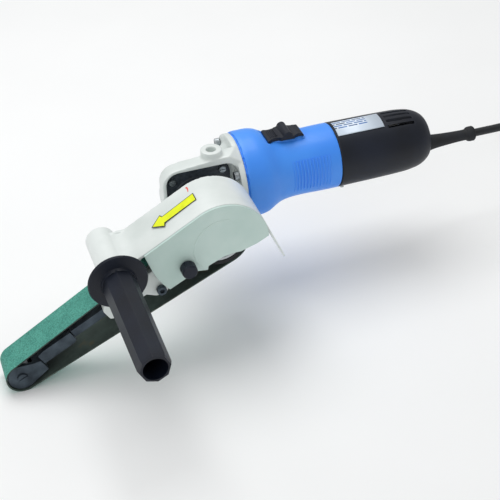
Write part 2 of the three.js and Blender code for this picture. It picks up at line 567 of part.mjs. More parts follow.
function tailFittings() {
  const label = turnedX(pipe(BARREL_R + 0.1, BARREL_R + 0.4, 138, 183), MOTOR_Y, 0, 72);
  const sector = block(137, 184, -10, 10, 20, 40).rotateX(8 * Math.PI / 180);
  add('rating_label', common(label, sector.translate(0, MOTOR_Y, 0)), LABEL);
  [-1, 1].forEach((sign, i) => {
    const head = 1.2 - BARREL_R;
    const screw = turnedZ([[0, head], [1.9, head], [1.5, head + 2.5], [1.5, head + 10], [0, head + 10]], 142,
      MOTOR_Y + sign * 12, 14);
    add(`tail_screw_${i + 1}`, screw, STEEL);
  });
  const body = block(156, 182, MOTOR_Y - 10, MOTOR_Y + 10, -2, 18);
  const arm = block(151, 157, MOTOR_Y - 3, MOTOR_Y + 3, 10, 18);
  add('switch_body', join(body, arm), DARK);
}

// ---- arm: belt cover, side door, tension slide, nose --------------------------------
const KNOB_A = 34.7;
const KNOB_W = 5.7;
const LOCK_A = 65;
const LOCK_W = -4;
const FLAP_TURN = -5 * Math.PI / 180;
const FLAP_LENGTH = 45.5;
const CORE_NEAR_Y = COVER_NEAR_Y + 5.3;

function coverBand() {
  const rIn = COVER_R - COVER_SKIN;
  const shape = new THREE.Shape();
  const away = [Math.sin(FLAP_TURN), -Math.cos(FLAP_TURN)];
  const at = (r, s) => [r * Math.cos(FLAP_TURN) + s * away[0], r * Math.sin(FLAP_TURN) + s * away[1]];
  shape.moveTo(...at(rIn + 0.4, FLAP_LENGTH));
  shape.lineTo(...at(COVER_R, FLAP_LENGTH));
  shape.absarc(0, 0, COVER_R, FLAP_TURN, Math.PI / 2 + 0.02, false);
  shape.lineTo(-60, 39.2);
  shape.quadraticCurveTo(-69, 39, -HANDLE_A + BOSS_R - 1, HANDLE_W + 6);
  shape.lineTo(-HANDLE_A, HANDLE_W + BOSS_R - 1);
  shape.lineTo(-HANDLE_A, HANDLE_W - 5);
  shape.lineTo(-HANDLE_A + BOSS_R, 35);
  shape.lineTo(-60, 36.6);
  shape.absarc(0, 0, rIn, Math.PI / 2 + 0.02, FLAP_TURN, true);
  return plate(shape, COVER_NEAR_Y, COVER_FAR_Y, 20);
}

function beltCover() {
  const back = plate(armPoly([[-39, 6], [-38, -14], [-20, -20], [20, -20], [50, -12], [72, -12], [80, -6],
    [114, -2.5], [115.5, 4], [114, 13], [100, 20], [98, 38], [HANDLE_A, 50], [60, 38], [0, 39.4],
    [-20, 34], [-34, 19]]), COVER_FAR_Y - BACK_THICK, COVER_FAR_Y);
  const boss = turnedY(bar(BOSS_R, COVER_NEAR_Y - 2.4, COVER_FAR_Y + 9), -HANDLE_A, HANDLE_W, 36);
  const core = plate(armPoly([[57, 16.5], [112, 14.2], [115.5, 10], [115, 0], [112, -2.5], [78, -1],
    [72.5, -7.5], [65, -12], [58, -8]]), CORE_NEAR_Y, COVER_FAR_Y - 1);
  const post = turnedY(bar(5, COVER_NEAR_Y + 0.4, COVER_FAR_Y - 1), -KNOB_A, KNOB_W, 24);
  const collar = turnedY(bar(COLLAR_R + 6, COVER_FAR_Y - 1, CLAMP_Y1), 0, 0);
  const lug = block(-33, -18, COVER_FAR_Y - 1, CLAMP_Y1, -7, 7);
  const casting = join(coverBand(), back, boss, core, post, collar, lug);
  const collarBore = turnedY(bar(COLLAR_R + GAP, NECK_Y0 - 0.3, CLAMP_Y1 + 1), 0, 0);
  const spindleHole = turnedY(bar(10, 10, NECK_Y0 + 1), 0, 0);
  const split = block(-34, -10, COVER_FAR_Y + GAP, CLAMP_Y1 + 1, -1, 1);
  const clampHole = turnedZ(bar(2.5 + GAP, -12, 12), -28.5, (COVER_FAR_Y + CLAMP_Y1) / 2 + 0.4, 16);
  const studHole = turnedY(bar(4 + GAP, -30, 14), -HANDLE_A, HANDLE_W, 20);
  const knobHole = turnedY(bar(2.5 + GAP, -30, -4), -KNOB_A, KNOB_W, 16);
  const lockHole = turnedY(bar(2.5 + GAP, -30, -3), -LOCK_A, LOCK_W, 16);
  const slideWay = block(-117, -74, SLIDE_Y0 - GAP, SLIDE_Y1 + GAP, SLIDE_W0 - GAP, SLIDE_W1 + GAP);
  const spotFace = turnedZ(bar(4.3 + GAP, 7, 20), -28.5, (COVER_FAR_Y + CLAMP_Y1) / 2 + 0.4, 18);
  addOnArm('belt_cover', cut(casting, collarBore, spindleHole, split, clampHole, spotFace, studHole,
    knobHole, lockHole, slideWay), WHITE);
}

const CLAMP_Y1 = COVER_FAR_Y + 13.2;
const SLIDE_Y0 = -12;
const SLIDE_Y1 = 2;
const SLIDE_W0 = 1.5;
const SLIDE_W1 = 9.5;

function armFasteners() {
  const y = (COVER_FAR_Y + CLAMP_Y1) / 2 + 0.4;
  const clamp = turnedZ([[0, -10.5], [2.5, -10.5], [2.5, 7 + GAP], [4.3, 7 + GAP], [4.3, 11.8], [0, 11.8]],
    -28.5, y, 18);
  const clampSocket = turnedZ(bar(2.1, 9.2, 13), -28.5, y, 6);
  addOnArm('arm_clamp_screw', cut(clamp, clampSocket), STEEL);
  const seat = CORE_NEAR_Y - GAP;
  const lock = turnedY([[0, seat - 4.4], [4.3, seat - 4.4], [4.3, seat], [2.5, seat], [2.5, -4], [0, -4]],
    -LOCK_A, LOCK_W, 20);
  const lockSocket = turnedY(bar(2.2, seat - 6, seat - 1.8), -LOCK_A, LOCK_W, 6);
  addOnArm('lock_screw', cut(lock, lockSocket), GUNMETAL);
}

const DOOR_Y1 = COVER_NEAR_Y - GAP;
const DOOR_Y0 = DOOR_Y1 - DOOR_THICK;

function sideDoor() {
  const rim = COVER_R - 0.4;
  const shape = new THREE.Shape();
  const tail = Math.atan2(-18.1, 36.6);
  shape.moveTo(rim * Math.cos(tail), rim * Math.sin(tail));
  shape.absarc(0, 0, rim, tail, Math.PI / 2 + 0.02, false);
  for (const [a, w] of DOOR_EDGE) shape.lineTo(-a, w);
  const panel = plate(shape, DOOR_Y0, DOOR_Y1, 26);
  const hole = turnedY(bar(2.5 + GAP, DOOR_Y0 - 1, DOOR_Y1 + 1), -KNOB_A, KNOB_W, 16);
  addOnArm('side_door', cut(panel, hole), DOOR_GREY);
}

const DOOR_EDGE = [[57, 38.7], [58.6, 30], [60, 20], [60.5, 11], [60, 3], [58.4, -4.6], [31, -5],
  [23, -10.5], [20.5, -7.6], [6, -8.6], [-2, -11], [-9, -14.6], [-24, -17.4]];

function doorKnob() {
  const y1 = DOOR_Y0 - GAP;
  const profile = [[0, y1 - 10.5], [5.6, y1 - 10.5], [6.7, y1 - 9.2], [6.9, y1 - 2], [5.6, y1], [2.5, y1],
    [2.5, -6], [0, -6]];
  let knob = turnedY(profile, -KNOB_A, KNOB_W, 28);
  const flutes = [];
  for (let i = 0; i < 8; i += 1) {
    const turn = i * Math.PI / 4;
    flutes.push(turnedY(bar(1.1, y1 - 12, y1 - 3), -KNOB_A + 7.4 * Math.cos(turn),
      KNOB_W + 7.4 * Math.sin(turn), 10));
  }
  knob = cut(knob, ...flutes);
  addOnArm('door_knob', knob, BLACK);
}

const YOKE_A = WHEEL_CENTRES - 21.6;
const SLIDE_END_A = WHEEL_CENTRES - 57.2;
const PULLEY_R = NOSE_BELT_R - BELT_THICK - GAP;
const PULLEY_HALF = 10.4;
const NOSE_AXLE_R = 3;

function tensionSlide() {
  addOnArm('slide_bar', block(-SLIDE_END_A, -92, SLIDE_Y0, SLIDE_Y1, SLIDE_W0, SLIDE_W1), GUNMETAL);
  const start = SLIDE_END_A + GAP;
  const body = plate(armPoly([[start, SLIDE_W1], [start, -1], [start + 3.7, -2.5], [YOKE_A - GAP, -2.5],
    [YOKE_A - GAP, SLIDE_W1 - 1.5], [YOKE_A - 6.6, SLIDE_W1]]), -13, 13);
  addOnArm('slide_block', body, GUNMETAL);
  const cheek = new THREE.Shape();
  cheek.moveTo(-YOKE_A, 3.2);
  cheek.lineTo(-YOKE_A, -8.5);
  cheek.absarc(-WHEEL_CENTRES, 0, NOSE_BELT_R - 1.95, -Math.PI / 2 + 0.1, -1.5 * Math.PI - 0.25, true);
  cheek.lineTo(15.2 - WHEEL_CENTRES, 5.4);
  const solid = plate(cheek, -13.8, 13.8, 16);
  const gap = block(-WHEEL_CENTRES - 24, PULLEY_R + 1.85 - WHEEL_CENTRES, -PULLEY_HALF - 0.4,
    PULLEY_HALF + 0.4, -20, 20);
  const bore = turnedY(bar(NOSE_AXLE_R + GAP, -20, 20), -WHEEL_CENTRES, 0, 20);
  addOnArm('nose_yoke', cut(solid, gap, bore), GUNMETAL);
  const pulley = pipe(NOSE_AXLE_R + RUN, PULLEY_R, -PULLEY_HALF, PULLEY_HALF);
  addOnArm('nose_pulley', turnedY(pulley, -WHEEL_CENTRES, 0, 36), STEEL);
  const axle = [[0, -15.4], [4.2, -15.4], [4.6, -13.8 - GAP], [NOSE_AXLE_R, -13.8 - GAP],
    [NOSE_AXLE_R, 14.6], [0, 14.6]];
  const slot = block(-WHEEL_CENTRES - 5, -WHEEL_CENTRES + 5, -16, -14.8, -0.5, 0.5);
  addOnArm('nose_axle', cut(turnedY(axle, -WHEEL_CENTRES, 0, 20), slot), STEEL);
}

const SPRING_TURNS = 5;
const SPRING_R = 3;
const SPRING_WIRE_R = 0.5;

function tensionSpring() {
  const points = [];
  const steps = SPRING_TURNS * 8;
  for (let i = 0; i <= steps; i += 1) {
    const turn = 2 * Math.PI * i / 8;
    const x = -91.2 + 15.8 * i / steps;
    points.push(new THREE.Vector3(x, -5 + SPRING_R * Math.cos(turn), 5.5 + SPRING_R * Math.sin(turn)));
  }
  const wire = new THREE.Shape();
  wire.absarc(0, 0, SPRING_WIRE_R, 0, 2 * Math.PI, false);
  const options = { steps, bevelEnabled: false, curveSegments: 3,
    extrudePath: new THREE.CatmullRomCurve3(points) };
  addOnArm('tension_spring', new THREE.ExtrudeGeometry(wire, options), STEEL);
}

// ---- side handle and decals ---------------------------------------------------------
const FLANGE_Y = COVER_NEAR_Y - 9.9;

function sideHandle() {
  const root = COVER_NEAR_Y - 2.4 - GAP;
  const disc = turnedY([[0, root], [9, root], [12, FLANGE_Y + 3.6], [FLANGE_R - 1, FLANGE_Y + 3.2],
    [FLANGE_R, FLANGE_Y + 1.6], [FLANGE_R - 1, FLANGE_Y], [15.5, FLANGE_Y - 1], [14.5, FLANGE_Y - 4],
    [0, FLANGE_Y - 4]], -HANDLE_A, HANDLE_W, 48);
  const grip = turnedY([[0, FLANGE_Y - 2], [GRIP_ROOT_R, FLANGE_Y - 2], [GRIP_TIP_R + 0.3, GRIP_TIP_Y + 4],
    [GRIP_TIP_R - 1, GRIP_TIP_Y], [0, GRIP_TIP_Y]], 0, 0, 8)
    .rotateY(Math.PI / 8).translate(-HANDLE_A, 0, HANDLE_W);
  const hollow = turnedY(bar(10, GRIP_TIP_Y - 1, -76), -HANDLE_A, HANDLE_W, 28);
  const studHole = turnedY(bar(4 + GAP, -71, 0), -HANDLE_A, HANDLE_W, 20);
  addOnArm('handle_grip', cut(join(disc, grip), hollow, studHole), BLACK);
  addOnArm('handle_stud', turnedY(bar(4, -68, 13), -HANDLE_A, HANDLE_W, 20), STEEL);
}

function directionArrow() {
  const outline = polygon([[-40.5, 0.5], [-29.8, 8.6], [-28.4, 5], [4, 7.4], [4, -3], [-28.4, -4.6],
    [-29.8, -8.9]]);
  const sheet = new THREE.ExtrudeGeometry(outline, { depth: 0.3, bevelEnabled: false })
    .translate(0, 0, COVER_R + GAP);
  addOnArm('direction_arrow', sheet, YELLOW);
}

// ---- mains lead ---------------------------------------------------------------------
const CORD_PATH = [
  [281.3, -8.8], [291, -8.8], [301, -8.8], [312, -8.8], [322, -9.8], [331, -12.1], [339.5, -16.1],
  [347.4, -21.7], [354.2, -28.5], [359.6, -36.3], [363.6, -45], [366.1, -54.2], [368.6, -67],
  [373.7, -78.9], [379, -86.9], [385.9, -93.5], [393.8, -98.9], [402.5, -103.1], [411.7, -105.6],
  [421.3, -106.4], [432, -106.4], [443, -106.4], [454, -106.4], [465, -106.4],
];
const FLOOR_Z = -(WHEEL_CENTRES * Math.sin(ARM_TILT) + NOSE_BELT_R);
const COIL_X = CORD_PATH[CORD_PATH.length - 1][0];
const COIL_Y = CORD_Y + CORD_R + GAP + COIL_R + COIL_HALF_W;

function mainsLead() {
  const relief = [[0, RELIEF_X0], [RELIEF_ROOT_R, RELIEF_X0], [RELIEF_ROOT_R, TAIL_X1 + 1],
    [6.6, TAIL_X1 + 9], [5.25, TAIL_X1 + 31], [5.4, RELIEF_END_X - 9], [7.2, RELIEF_END_X - 6],
    [7.2, RELIEF_END_X - 1], [6, RELIEF_END_X], [0, RELIEF_END_X]];
  add('strain_relief', turnedX(relief, CORD_Y, CORD_Z, 28), RUBBER);
  const path = new THREE.CatmullRomCurve3(CORD_PATH.map(([x, z]) => new THREE.Vector3(x, CORD_Y, z)));
  const section = new THREE.Shape();
  section.absarc(0, 0, CORD_R, 0, 2 * Math.PI, false);
  const tube = { steps: 34, bevelEnabled: false, curveSegments: 5, extrudePath: path };
  add('cord', new THREE.ExtrudeGeometry(section, tube), RUBBER);

  const z0 = FLOOR_Z + GAP + 2;
  const z1 = z0 + 2 * COIL_HALF_H;
  const bevel = 3;
  const [rIn, rOut] = [COIL_R - COIL_HALF_W, COIL_R + COIL_HALF_W];
  const bundle = [
    [rIn, z0 + bevel], [rIn + bevel, z0], [rOut - bevel, z0], [rOut, z0 + bevel],
    [rOut, z1 - bevel], [rOut - bevel, z1], [rIn + bevel, z1], [rIn, z1 - bevel], [rIn, z0 + bevel],
  ];
  add('cord_coil', turnedZ(bundle, COIL_X, COIL_Y, 40), RUBBER);

  const strap = 1.6;
  const reachW = COIL_HALF_W + 3 * GAP;
  const reachH = COIL_HALF_H + GAP;
  const middle = (z0 + z1) / 2;
  const away = COIL_X + COIL_R;
  const outside = block(away - reachW - strap, away + reachW + strap, COIL_Y - 5, COIL_Y + 5,
    middle - reachH - strap, middle + reachH + strap);
  const hole = block(away - reachW, away + reachW, COIL_Y - 6, COIL_Y + 6,
    middle - reachH, middle + reachH);
  add('cord_tie', cut(outside, hole), BLACK);

  const plugY = COIL_Y + rOut + PLUG_R + 1;
  const plugZ = FLOOR_Z + PLUG_R + 0.5;
  const face = COIL_X - PLUG_LENGTH;
  const plug = turnedX([[0, face], [PLUG_R, face], [PLUG_R, face + 20], [9, face + 24], [6, face + 28],
    [4.6, COIL_X], [0, COIL_X]], plugY, plugZ, 20);
  const pocket = block(face - 1, face + 5, plugY - 7.6, plugY + 7.6, plugZ - 3.6, plugZ + 3.6);
  add('plug_body', cut(plug, pocket), BLACK);
  const bridge = block(face + 2, face + 4.6, plugY - 7.1, plugY + 7.1, plugZ - 3.1, plugZ + 3.1);
  const pins = [-1, 1].map((sign) => block(face - 17, face + 3, plugY + sign * 6.35 - 0.75,
    plugY + sign * 6.35 + 0.75, plugZ - 3.1, plugZ + 3.1));
  add('plug_pins', join(bridge, ...pins), BRASS);
}

// ---- assembly -----------------------------------------------------------------------
sandingBelt();
driveWheel();
spindle();
bearing('spindle_bearing_near', turnedY, SPINDLE_R, BEARING_R, FRONT_BEARING_Y0, FRONT_BEARING_Y1, 0, 0);
bearing('spindle_bearing_far', turnedY, SHAFT_R, END_BEARING_R, END_BEARING_Y0, END_BEARING_Y1, 0, 0);
bearing('motor_bearing_front', turnedX, SHAFT_R, BEARING_R, MOTOR_BEARING_X0, MOTOR_BEARING_X1,
  MOTOR_Y, 0);
bearing('motor_bearing_rear', turnedX, SHAFT_R, TAIL_BEARING_R, PARTITION_X0, PARTITION_X1, MOTOR_Y, 0);
bevelGears();
gearCase();
bearingPlate();
motorHousing();
switchSlider();
fieldWinding();
armature();
coolingFan();
brushes();
rearCover();
tailFittings();
beltCover();
armFasteners();
sideDoor();
doorKnob();
tensionSlide();
tensionSpring();
sideHandle();
directionArrow();
mainsLead();

// ---- floor and origin ---------------------------------------------------------------
const LEAD = /^(cord|plug)/;
const tool = new THREE.Box3();
for (const mesh of sander.children) {
  if (!LEAD.test(mesh.name)) tool.expandByObject(mesh);
}
const middle = tool.getCenter(new THREE.Vector3());
for (const mesh of sander.children) {
  mesh.geometry.translate(-middle.x, -middle.y, -FLOOR_Z);
}

export default sander;
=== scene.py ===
import math

import bmesh
import bpy
from mathutils import Matrix, Vector
from mathutils.geometry import interpolate_bezier


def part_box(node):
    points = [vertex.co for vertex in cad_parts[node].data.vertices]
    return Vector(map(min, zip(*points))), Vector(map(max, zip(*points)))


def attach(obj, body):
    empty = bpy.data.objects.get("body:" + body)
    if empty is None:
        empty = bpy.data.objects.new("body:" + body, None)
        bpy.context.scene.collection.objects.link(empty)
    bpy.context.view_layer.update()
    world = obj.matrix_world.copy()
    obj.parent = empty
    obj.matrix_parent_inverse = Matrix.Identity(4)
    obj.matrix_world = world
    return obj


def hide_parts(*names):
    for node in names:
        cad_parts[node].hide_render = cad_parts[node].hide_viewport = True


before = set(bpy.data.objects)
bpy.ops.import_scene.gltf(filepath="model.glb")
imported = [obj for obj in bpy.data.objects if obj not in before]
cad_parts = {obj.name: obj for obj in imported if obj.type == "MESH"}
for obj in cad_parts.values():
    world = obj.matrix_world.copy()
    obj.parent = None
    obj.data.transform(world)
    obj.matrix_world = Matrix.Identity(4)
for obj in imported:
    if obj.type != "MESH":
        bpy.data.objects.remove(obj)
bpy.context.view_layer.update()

# ---- viewpoint -----------------------------------------------------------------------
# The tool is seen from the belt side, a little to the left of square and well above,
# with the camera rolled slightly. Distances are from the centre of the drive wheel.
scene = bpy.context.scene
hub_low, hub_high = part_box("drive_hub")
WHEEL = (hub_low + hub_high) / 2
right = Vector((0.94712, -0.31848, -0.03906))
up = Vector((0.21595, 0.54268, 0.81170))
back = right.cross(up).normalized()
eye = bpy.data.cameras.new("camera")
eye.lens = 94.36
eye.sensor_width = 36
camera = bpy.data.objects.new("camera", eye)
scene.collection.objects.link(camera)
at = WHEEL + Vector((-0.24053, -0.88545, 0.63600))
camera.matrix_world = Matrix.Translation(at) @ Matrix((right, up, back)).transposed().to_4x4()
scene.camera = camera

# ---- mains lead ------------------------------------------------------------------------
# Two-core lead in black PVC, 7.5 mm across. It leaves the strain relief level, drops to the
# bench and is stored in a flat coil of two layers, with a moulded plug on its end.
LEAD_R = 0.00375
LEAD_Y = 0.0769
COIL_Y = 0.13815                 # middle of the coil, beyond the belt's middle plane
TURN_PITCH = 0.0076              # side by side, a little over one diameter
LAYER_Z = (-0.10427, -0.09657)   # middle of the lower and the upper layer
BENCH_Z = -0.1064                # middle of the lead where it lies on the bench
route = [
    (0.2813, -0.0088), (0.291, -0.0088), (0.301, -0.0088), (0.312, -0.0088), (0.322, -0.0098),
    (0.331, -0.0121), (0.3395, -0.0161), (0.3474, -0.0217), (0.3542, -0.0285), (0.3596, -0.0363),
    (0.3636, -0.045), (0.3661, -0.0542), (0.3686, -0.067), (0.3737, -0.0789), (0.379, -0.0869),
    (0.3859, -0.0935), (0.3938, -0.0989), (0.4025, -0.1031), (0.4117, -0.1056),
    (0.4213, -0.1064), (0.432, -0.1064), (0.443, -0.1064), (0.454, -0.1064),
]
COIL_X = 0.465
path = [Vector((x, LEAD_Y, z)) for x, z in route]


def ease(value, start, end):
    """0 before start, 1 after end, and a smooth rise between them."""
    share = min(max((value - start) / (end - start), 0), 1)
    return share * share * (3 - 2 * share)


def coil_radius(turns):
    """Inwards on the lower layer, then outwards on the upper one."""
    if turns <= 1:
        return 0.06125 - 0.00785 * turns
    if turns <= 4.3:
        return 0.0534 - TURN_PITCH * (turns - 1)
    if turns <= 5.3:
        return 0.02832 + 0.009 * (turns - 4.3)
    spiral = 0.03732 + TURN_PITCH * (turns - 5.3)
    return spiral + (0.0687 - 0.05404) * ease(turns, 7.2, 7.5)


STEPS_A_TURN = 20
for step in range(int(7.5 * STEPS_A_TURN) + 1):
    turns = step / STEPS_A_TURN
    angle = 2 * math.pi * turns - math.pi / 2
    radius = coil_radius(turns)
    height = BENCH_Z + (LAYER_Z[0] - BENCH_Z) * ease(turns, 0, 0.5)
    height += (LAYER_Z[1] - LAYER_Z[0]) * ease(turns, 4, 4.3) - 0.00285 * ease(turns, 7.38, 7.5)
    path.append(Vector((COIL_X + radius * math.cos(angle), COIL_Y + radius * math.sin(angle), height)))
path[-1].x += 0.0003

line = bpy.data.curves.new("mains_lead", "CURVE")
line.dimensions = "3D"
line.bevel_depth = LEAD_R
line.bevel_resolution = 4
line.resolution_u = 5
line.use_fill_caps = True
spline = line.splines.new("BEZIER")
spline.bezier_points.add(len(path) - 1)
for knot, place in zip(spline.bezier_points, path):
    knot.co = WHEEL + place
    knot.handle_left_type = knot.handle_right_type = "AUTO"
mains_lead = bpy.data.objects.new("mains_lead", line)
scene.collection.objects.link(mains_lead)
bpy.context.view_layer.update()
for first, second in zip(spline.bezier_points[:-1], spline.bezier_points[1:]):
    run = interpolate_bezier(first.co, first.handle_right, second.handle_left, second.co, 6)


def linear(code):
    """An sRGB hex colour as linear values with full alpha."""
    parts = [int(code[i:i + 2], 16) / 255 for i in (0, 2, 4)]
    return [p / 12.92 if p <= 0.04045 else ((p + 0.055) / 1.055) ** 2.4 for p in parts] + [1]


def add_node(tree, kind, settings=None, inputs=None):
    """One node. Settings are its own options, stops the colours of a ramp, and each input
    is linked when it is given a socket and set when it is given a value."""
    node = tree.nodes.new(kind)
    for key, value in (settings or {}).items():
        if key == "stops":
            ramp = node.color_ramp
            while len(ramp.elements) < len(value):
                ramp.elements.new(0.5)
            for element, (position, code) in zip(ramp.elements, value):
                element.position = position
                element.color = linear(code) if isinstance(code, str) else [code, code, code, 1]
        else:
            setattr(node, key, value)
    for key, value in (inputs or {}).items():
        if isinstance(value, bpy.types.NodeSocket):
            tree.links.new(value, node.inputs[key])
        else:
            node.inputs[key].default_value = value
    return node


def new_finish(name, sockets):
    """An empty material with its shader, and the values that hold all over the surface."""
    material = bpy.data.materials.new(name)
    material.use_nodes = True
    tree = material.node_tree
    shader = tree.nodes["Principled BSDF"]
    for key, value in sockets.items():
        shader.inputs[key].default_value = value
    place = add_node(tree, "ShaderNodeTexCoord").outputs["Object"]
    return material, tree, shader, place


# Flexible PVC: almost black, a soft low gloss, and faint scuffs a few millimetres long.
pvc, tree, shader, place = new_finish("black_pvc_sheath", {"IOR": 1.5})
scuffs = add_node(tree, "ShaderNodeTexNoise", {}, {"Vector": place, "Scale": 220, "Detail": 5})
tone = add_node(tree, "ShaderNodeValToRGB", {"stops": [(0.35, "0B0D11"), (0.75, "191D24")]},
                {"Fac": scuffs.outputs["Fac"]})
gloss = add_node(tree, "ShaderNodeMapRange", {},
                 {"Value": scuffs.outputs["Fac"], "To Min": 0.38, "To Max": 0.62})
bump = add_node(tree, "ShaderNodeBump", {},
                {"Height": scuffs.outputs["Fac"], "Strength": 0.25, "Distance": 0.0003})
tree.links.new(tone.outputs["Color"], shader.inputs["Base Color"])
tree.links.new(gloss.outputs["Result"], shader.inputs["Roughness"])
tree.links.new(bump.outputs["Normal"], shader.inputs["Normal"])

line.materials.append(pvc)
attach(mains_lead, "motor_unit")
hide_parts("cord", "cord_coil")


# ---- plug and tie ----------------------------------------------------------------------
# Moulded two-pin plug in the same black PVC, flat blades in brass, and a strap of soft
# plastic round the coil. They are single moulded pieces with rounded edges.
def apply_modifiers(obj):
    """Leaves the object with the mesh that its modifiers make, and none of them."""
    made = bpy.data.meshes.new_from_object(
        obj.evaluated_get(bpy.context.evaluated_depsgraph_get()))
    obj.modifiers.clear()
    obj.data = made
    return obj


def round_edges(obj, width, segments=2, sharper_than=32):
    """Rounds every edge sharper than an angle in degrees, and keeps the flats looking flat."""
    obj.data.shade_smooth()
    bevel = obj.modifiers.new("edges", "BEVEL")
    bevel.limit_method = "ANGLE"
    bevel.angle_limit = math.radians(sharper_than)
    bevel.width = width
    bevel.segments = segments
    bevel.miter_outer = "MITER_ARC"
    weighted = obj.modifiers.new("flats", "WEIGHTED_NORMAL")
    weighted.keep_sharp = True
    return apply_modifiers(obj)


def shape_of(node, name, width=None, segments=2):
    """A new piece from a node's own shape, with coplanar facets joined and edges rounded."""
    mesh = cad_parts[node].data.copy()
    mesh.materials.clear()
    obj = bpy.data.objects.new(name, mesh)
    scene.collection.objects.link(obj)
    merged = bmesh.new()
    merged.from_mesh(mesh)
    bmesh.ops.remove_doubles(merged, verts=merged.verts, dist=2e-6)
    bmesh.ops.dissolve_limit(merged, angle_limit=math.radians(0.6),
                             verts=merged.verts, edges=merged.edges)
    merged.to_mesh(mesh)
    merged.free()
    return round_edges(obj, width, segments) if width else obj


def fit_piece(obj, material, body, slot, *nodes):
    """Gives a finished piece its material, its body and the nodes it stands for."""
    obj.data.materials.clear()
    obj.data.materials.append(material)
    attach(obj, body)
    if nodes:
        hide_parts(*nodes)
    return obj


# Turned or stamped brass: warm and bright, with fine rubbing marks along the blade.
brass, tree, shader, place = new_finish("bright_brass", {"Metallic": 1.0})
rubs = add_node(tree, "ShaderNodeTexNoise", {}, {"Vector": place, "Scale": 900, "Detail": 3})
tone = add_node(tree, "ShaderNodeValToRGB", {"stops": [(0.3, "B8924A"), (0.7, "D9B66A")]},
                {"Fac": rubs.outputs["Fac"]})
gloss = add_node(tree, "ShaderNodeMapRange", {},
                 {"Value": rubs.outputs["Fac"], "To Min": 0.22, "To Max": 0.42})
tree.links.new(tone.outputs["Color"], shader.inputs["Base Color"])
tree.links.new(gloss.outputs["Result"], shader.inputs["Roughness"])

plug_body = fit_piece(shape_of("plug_body", "moulded_plug", 0.0009, 3), pvc, "motor_unit",
                      "black_rubber", "plug_body")
plug_blades = fit_piece(shape_of("plug_pins", "plug_blades", 0.0003), brass, "motor_unit",
                        "brass", "plug_pins")
tie = fit_piece(shape_of("cord_tie", "lead_tie", 0.0006), pvc, "motor_unit", "black_plastic",
                "cord_tie")


# ---- strain relief ---------------------------------------------------------------------
# Soft rubber sleeve held in the tail of the rear cover. It narrows towards the lead, is cut
# by ring grooves so that it bends, and ends in a thicker collar.
def solid(name, points, faces):
    """A closed mesh from points in millimetres about the drive wheel's centre."""
    mesh = bpy.data.meshes.new(name)
    mesh.from_pydata(points, [], faces)
    obj = bpy.data.objects.new(name, mesh)
    scene.collection.objects.link(obj)
    joined = bmesh.new()
    joined.from_mesh(mesh)
    bmesh.ops.remove_doubles(joined, verts=joined.verts, dist=1e-4)
    bmesh.ops.recalc_face_normals(joined, faces=joined.faces)
    joined.to_mesh(mesh)
    joined.free()
    return obj


def turned(name, profile, axis, offset=(0, 0), segments=96):
    """A profile of (radius, place along the axis) turned round X, Y or Z."""
    points, faces, count = [], [], len(profile)
    for step in range(segments):
        c, s = math.cos(2 * math.pi * step / segments), math.sin(2 * math.pi * step / segments)
        for radius, along in profile:
            u, v = offset[0] + radius * c, offset[1] + radius * s
            points.append({"X": (along, u, v), "Y": (u, along, v), "Z": (u, v, along)}[axis])
    for step in range(segments):
        for k in range(count - 1):
            near, far = step * count, (step + 1) % segments * count
            quad = [near + k, near + k + 1, far + k + 1, far + k]
            if profile[k][0] == 0:
                quad = [near + k, near + k + 1, far + k + 1]
            elif profile[k + 1][0] == 0:
                quad = [near + k, near + k + 1, far + k]
            faces.append(quad)
    return solid(name, points, faces)


def curved(profile, pieces=4):
    """The same profile with a smooth curve through its points."""
    out = []
    for i in range(len(profile) - 1):
        p0, p1, p2, p3 = (profile[max(i - 1, 0)], profile[i], profile[i + 1],
                          profile[min(i + 2, len(profile) - 1)])
        for step in range(pieces):
            t = step / pieces
            out.append(tuple(0.5 * (2 * b + (c - a) * t + (2 * a - 5 * b + 4 * c - d) * t * t
                                    + (3 * b - a - 3 * c + d) * t ** 3)
                             for a, b, c, d in zip(p0, p1, p2, p3)))
    return out + [profile[-1]]


def seat(obj, tilted=False):
    """Moves a mesh from millimetres about the drive wheel to its place on the tool."""
    lean = Matrix.Rotation(-ARM_TILT, 4, "Y") if tilted else Matrix()
    obj.data.transform(Matrix.Translation(WHEEL) @ Matrix.Scale(0.001, 4) @ lean)
    return obj


ARM_TILT = math.radians(27.8)    # lean of the belt arm below the level
RELIEF_END = 281
sleeve = [(0, 220.2), (8.3, 220.2)] + curved(
    [(8.4, 221), (8.4, 231.2), (7.9, 233.5), (7.0, 238), (6.5, 243), (6.1, 248), (5.75, 254),
     (5.45, 260), (5.25, 266), (5.2, 270.5), (5.5, 272.6), (6.6, 274), (7.1, 276)], 4)
sleeve += [(7.1, RELIEF_END - 1.4), (6.3, RELIEF_END - 0.3), (4.2, RELIEF_END), (0, RELIEF_END)]
relief = seat(turned("strain_relief_sleeve", sleeve, "X", (76.9, -8.8), 64))
relief.data.shade_smooth()
relief.data.set_sharp_from_angle(angle=math.radians(50))

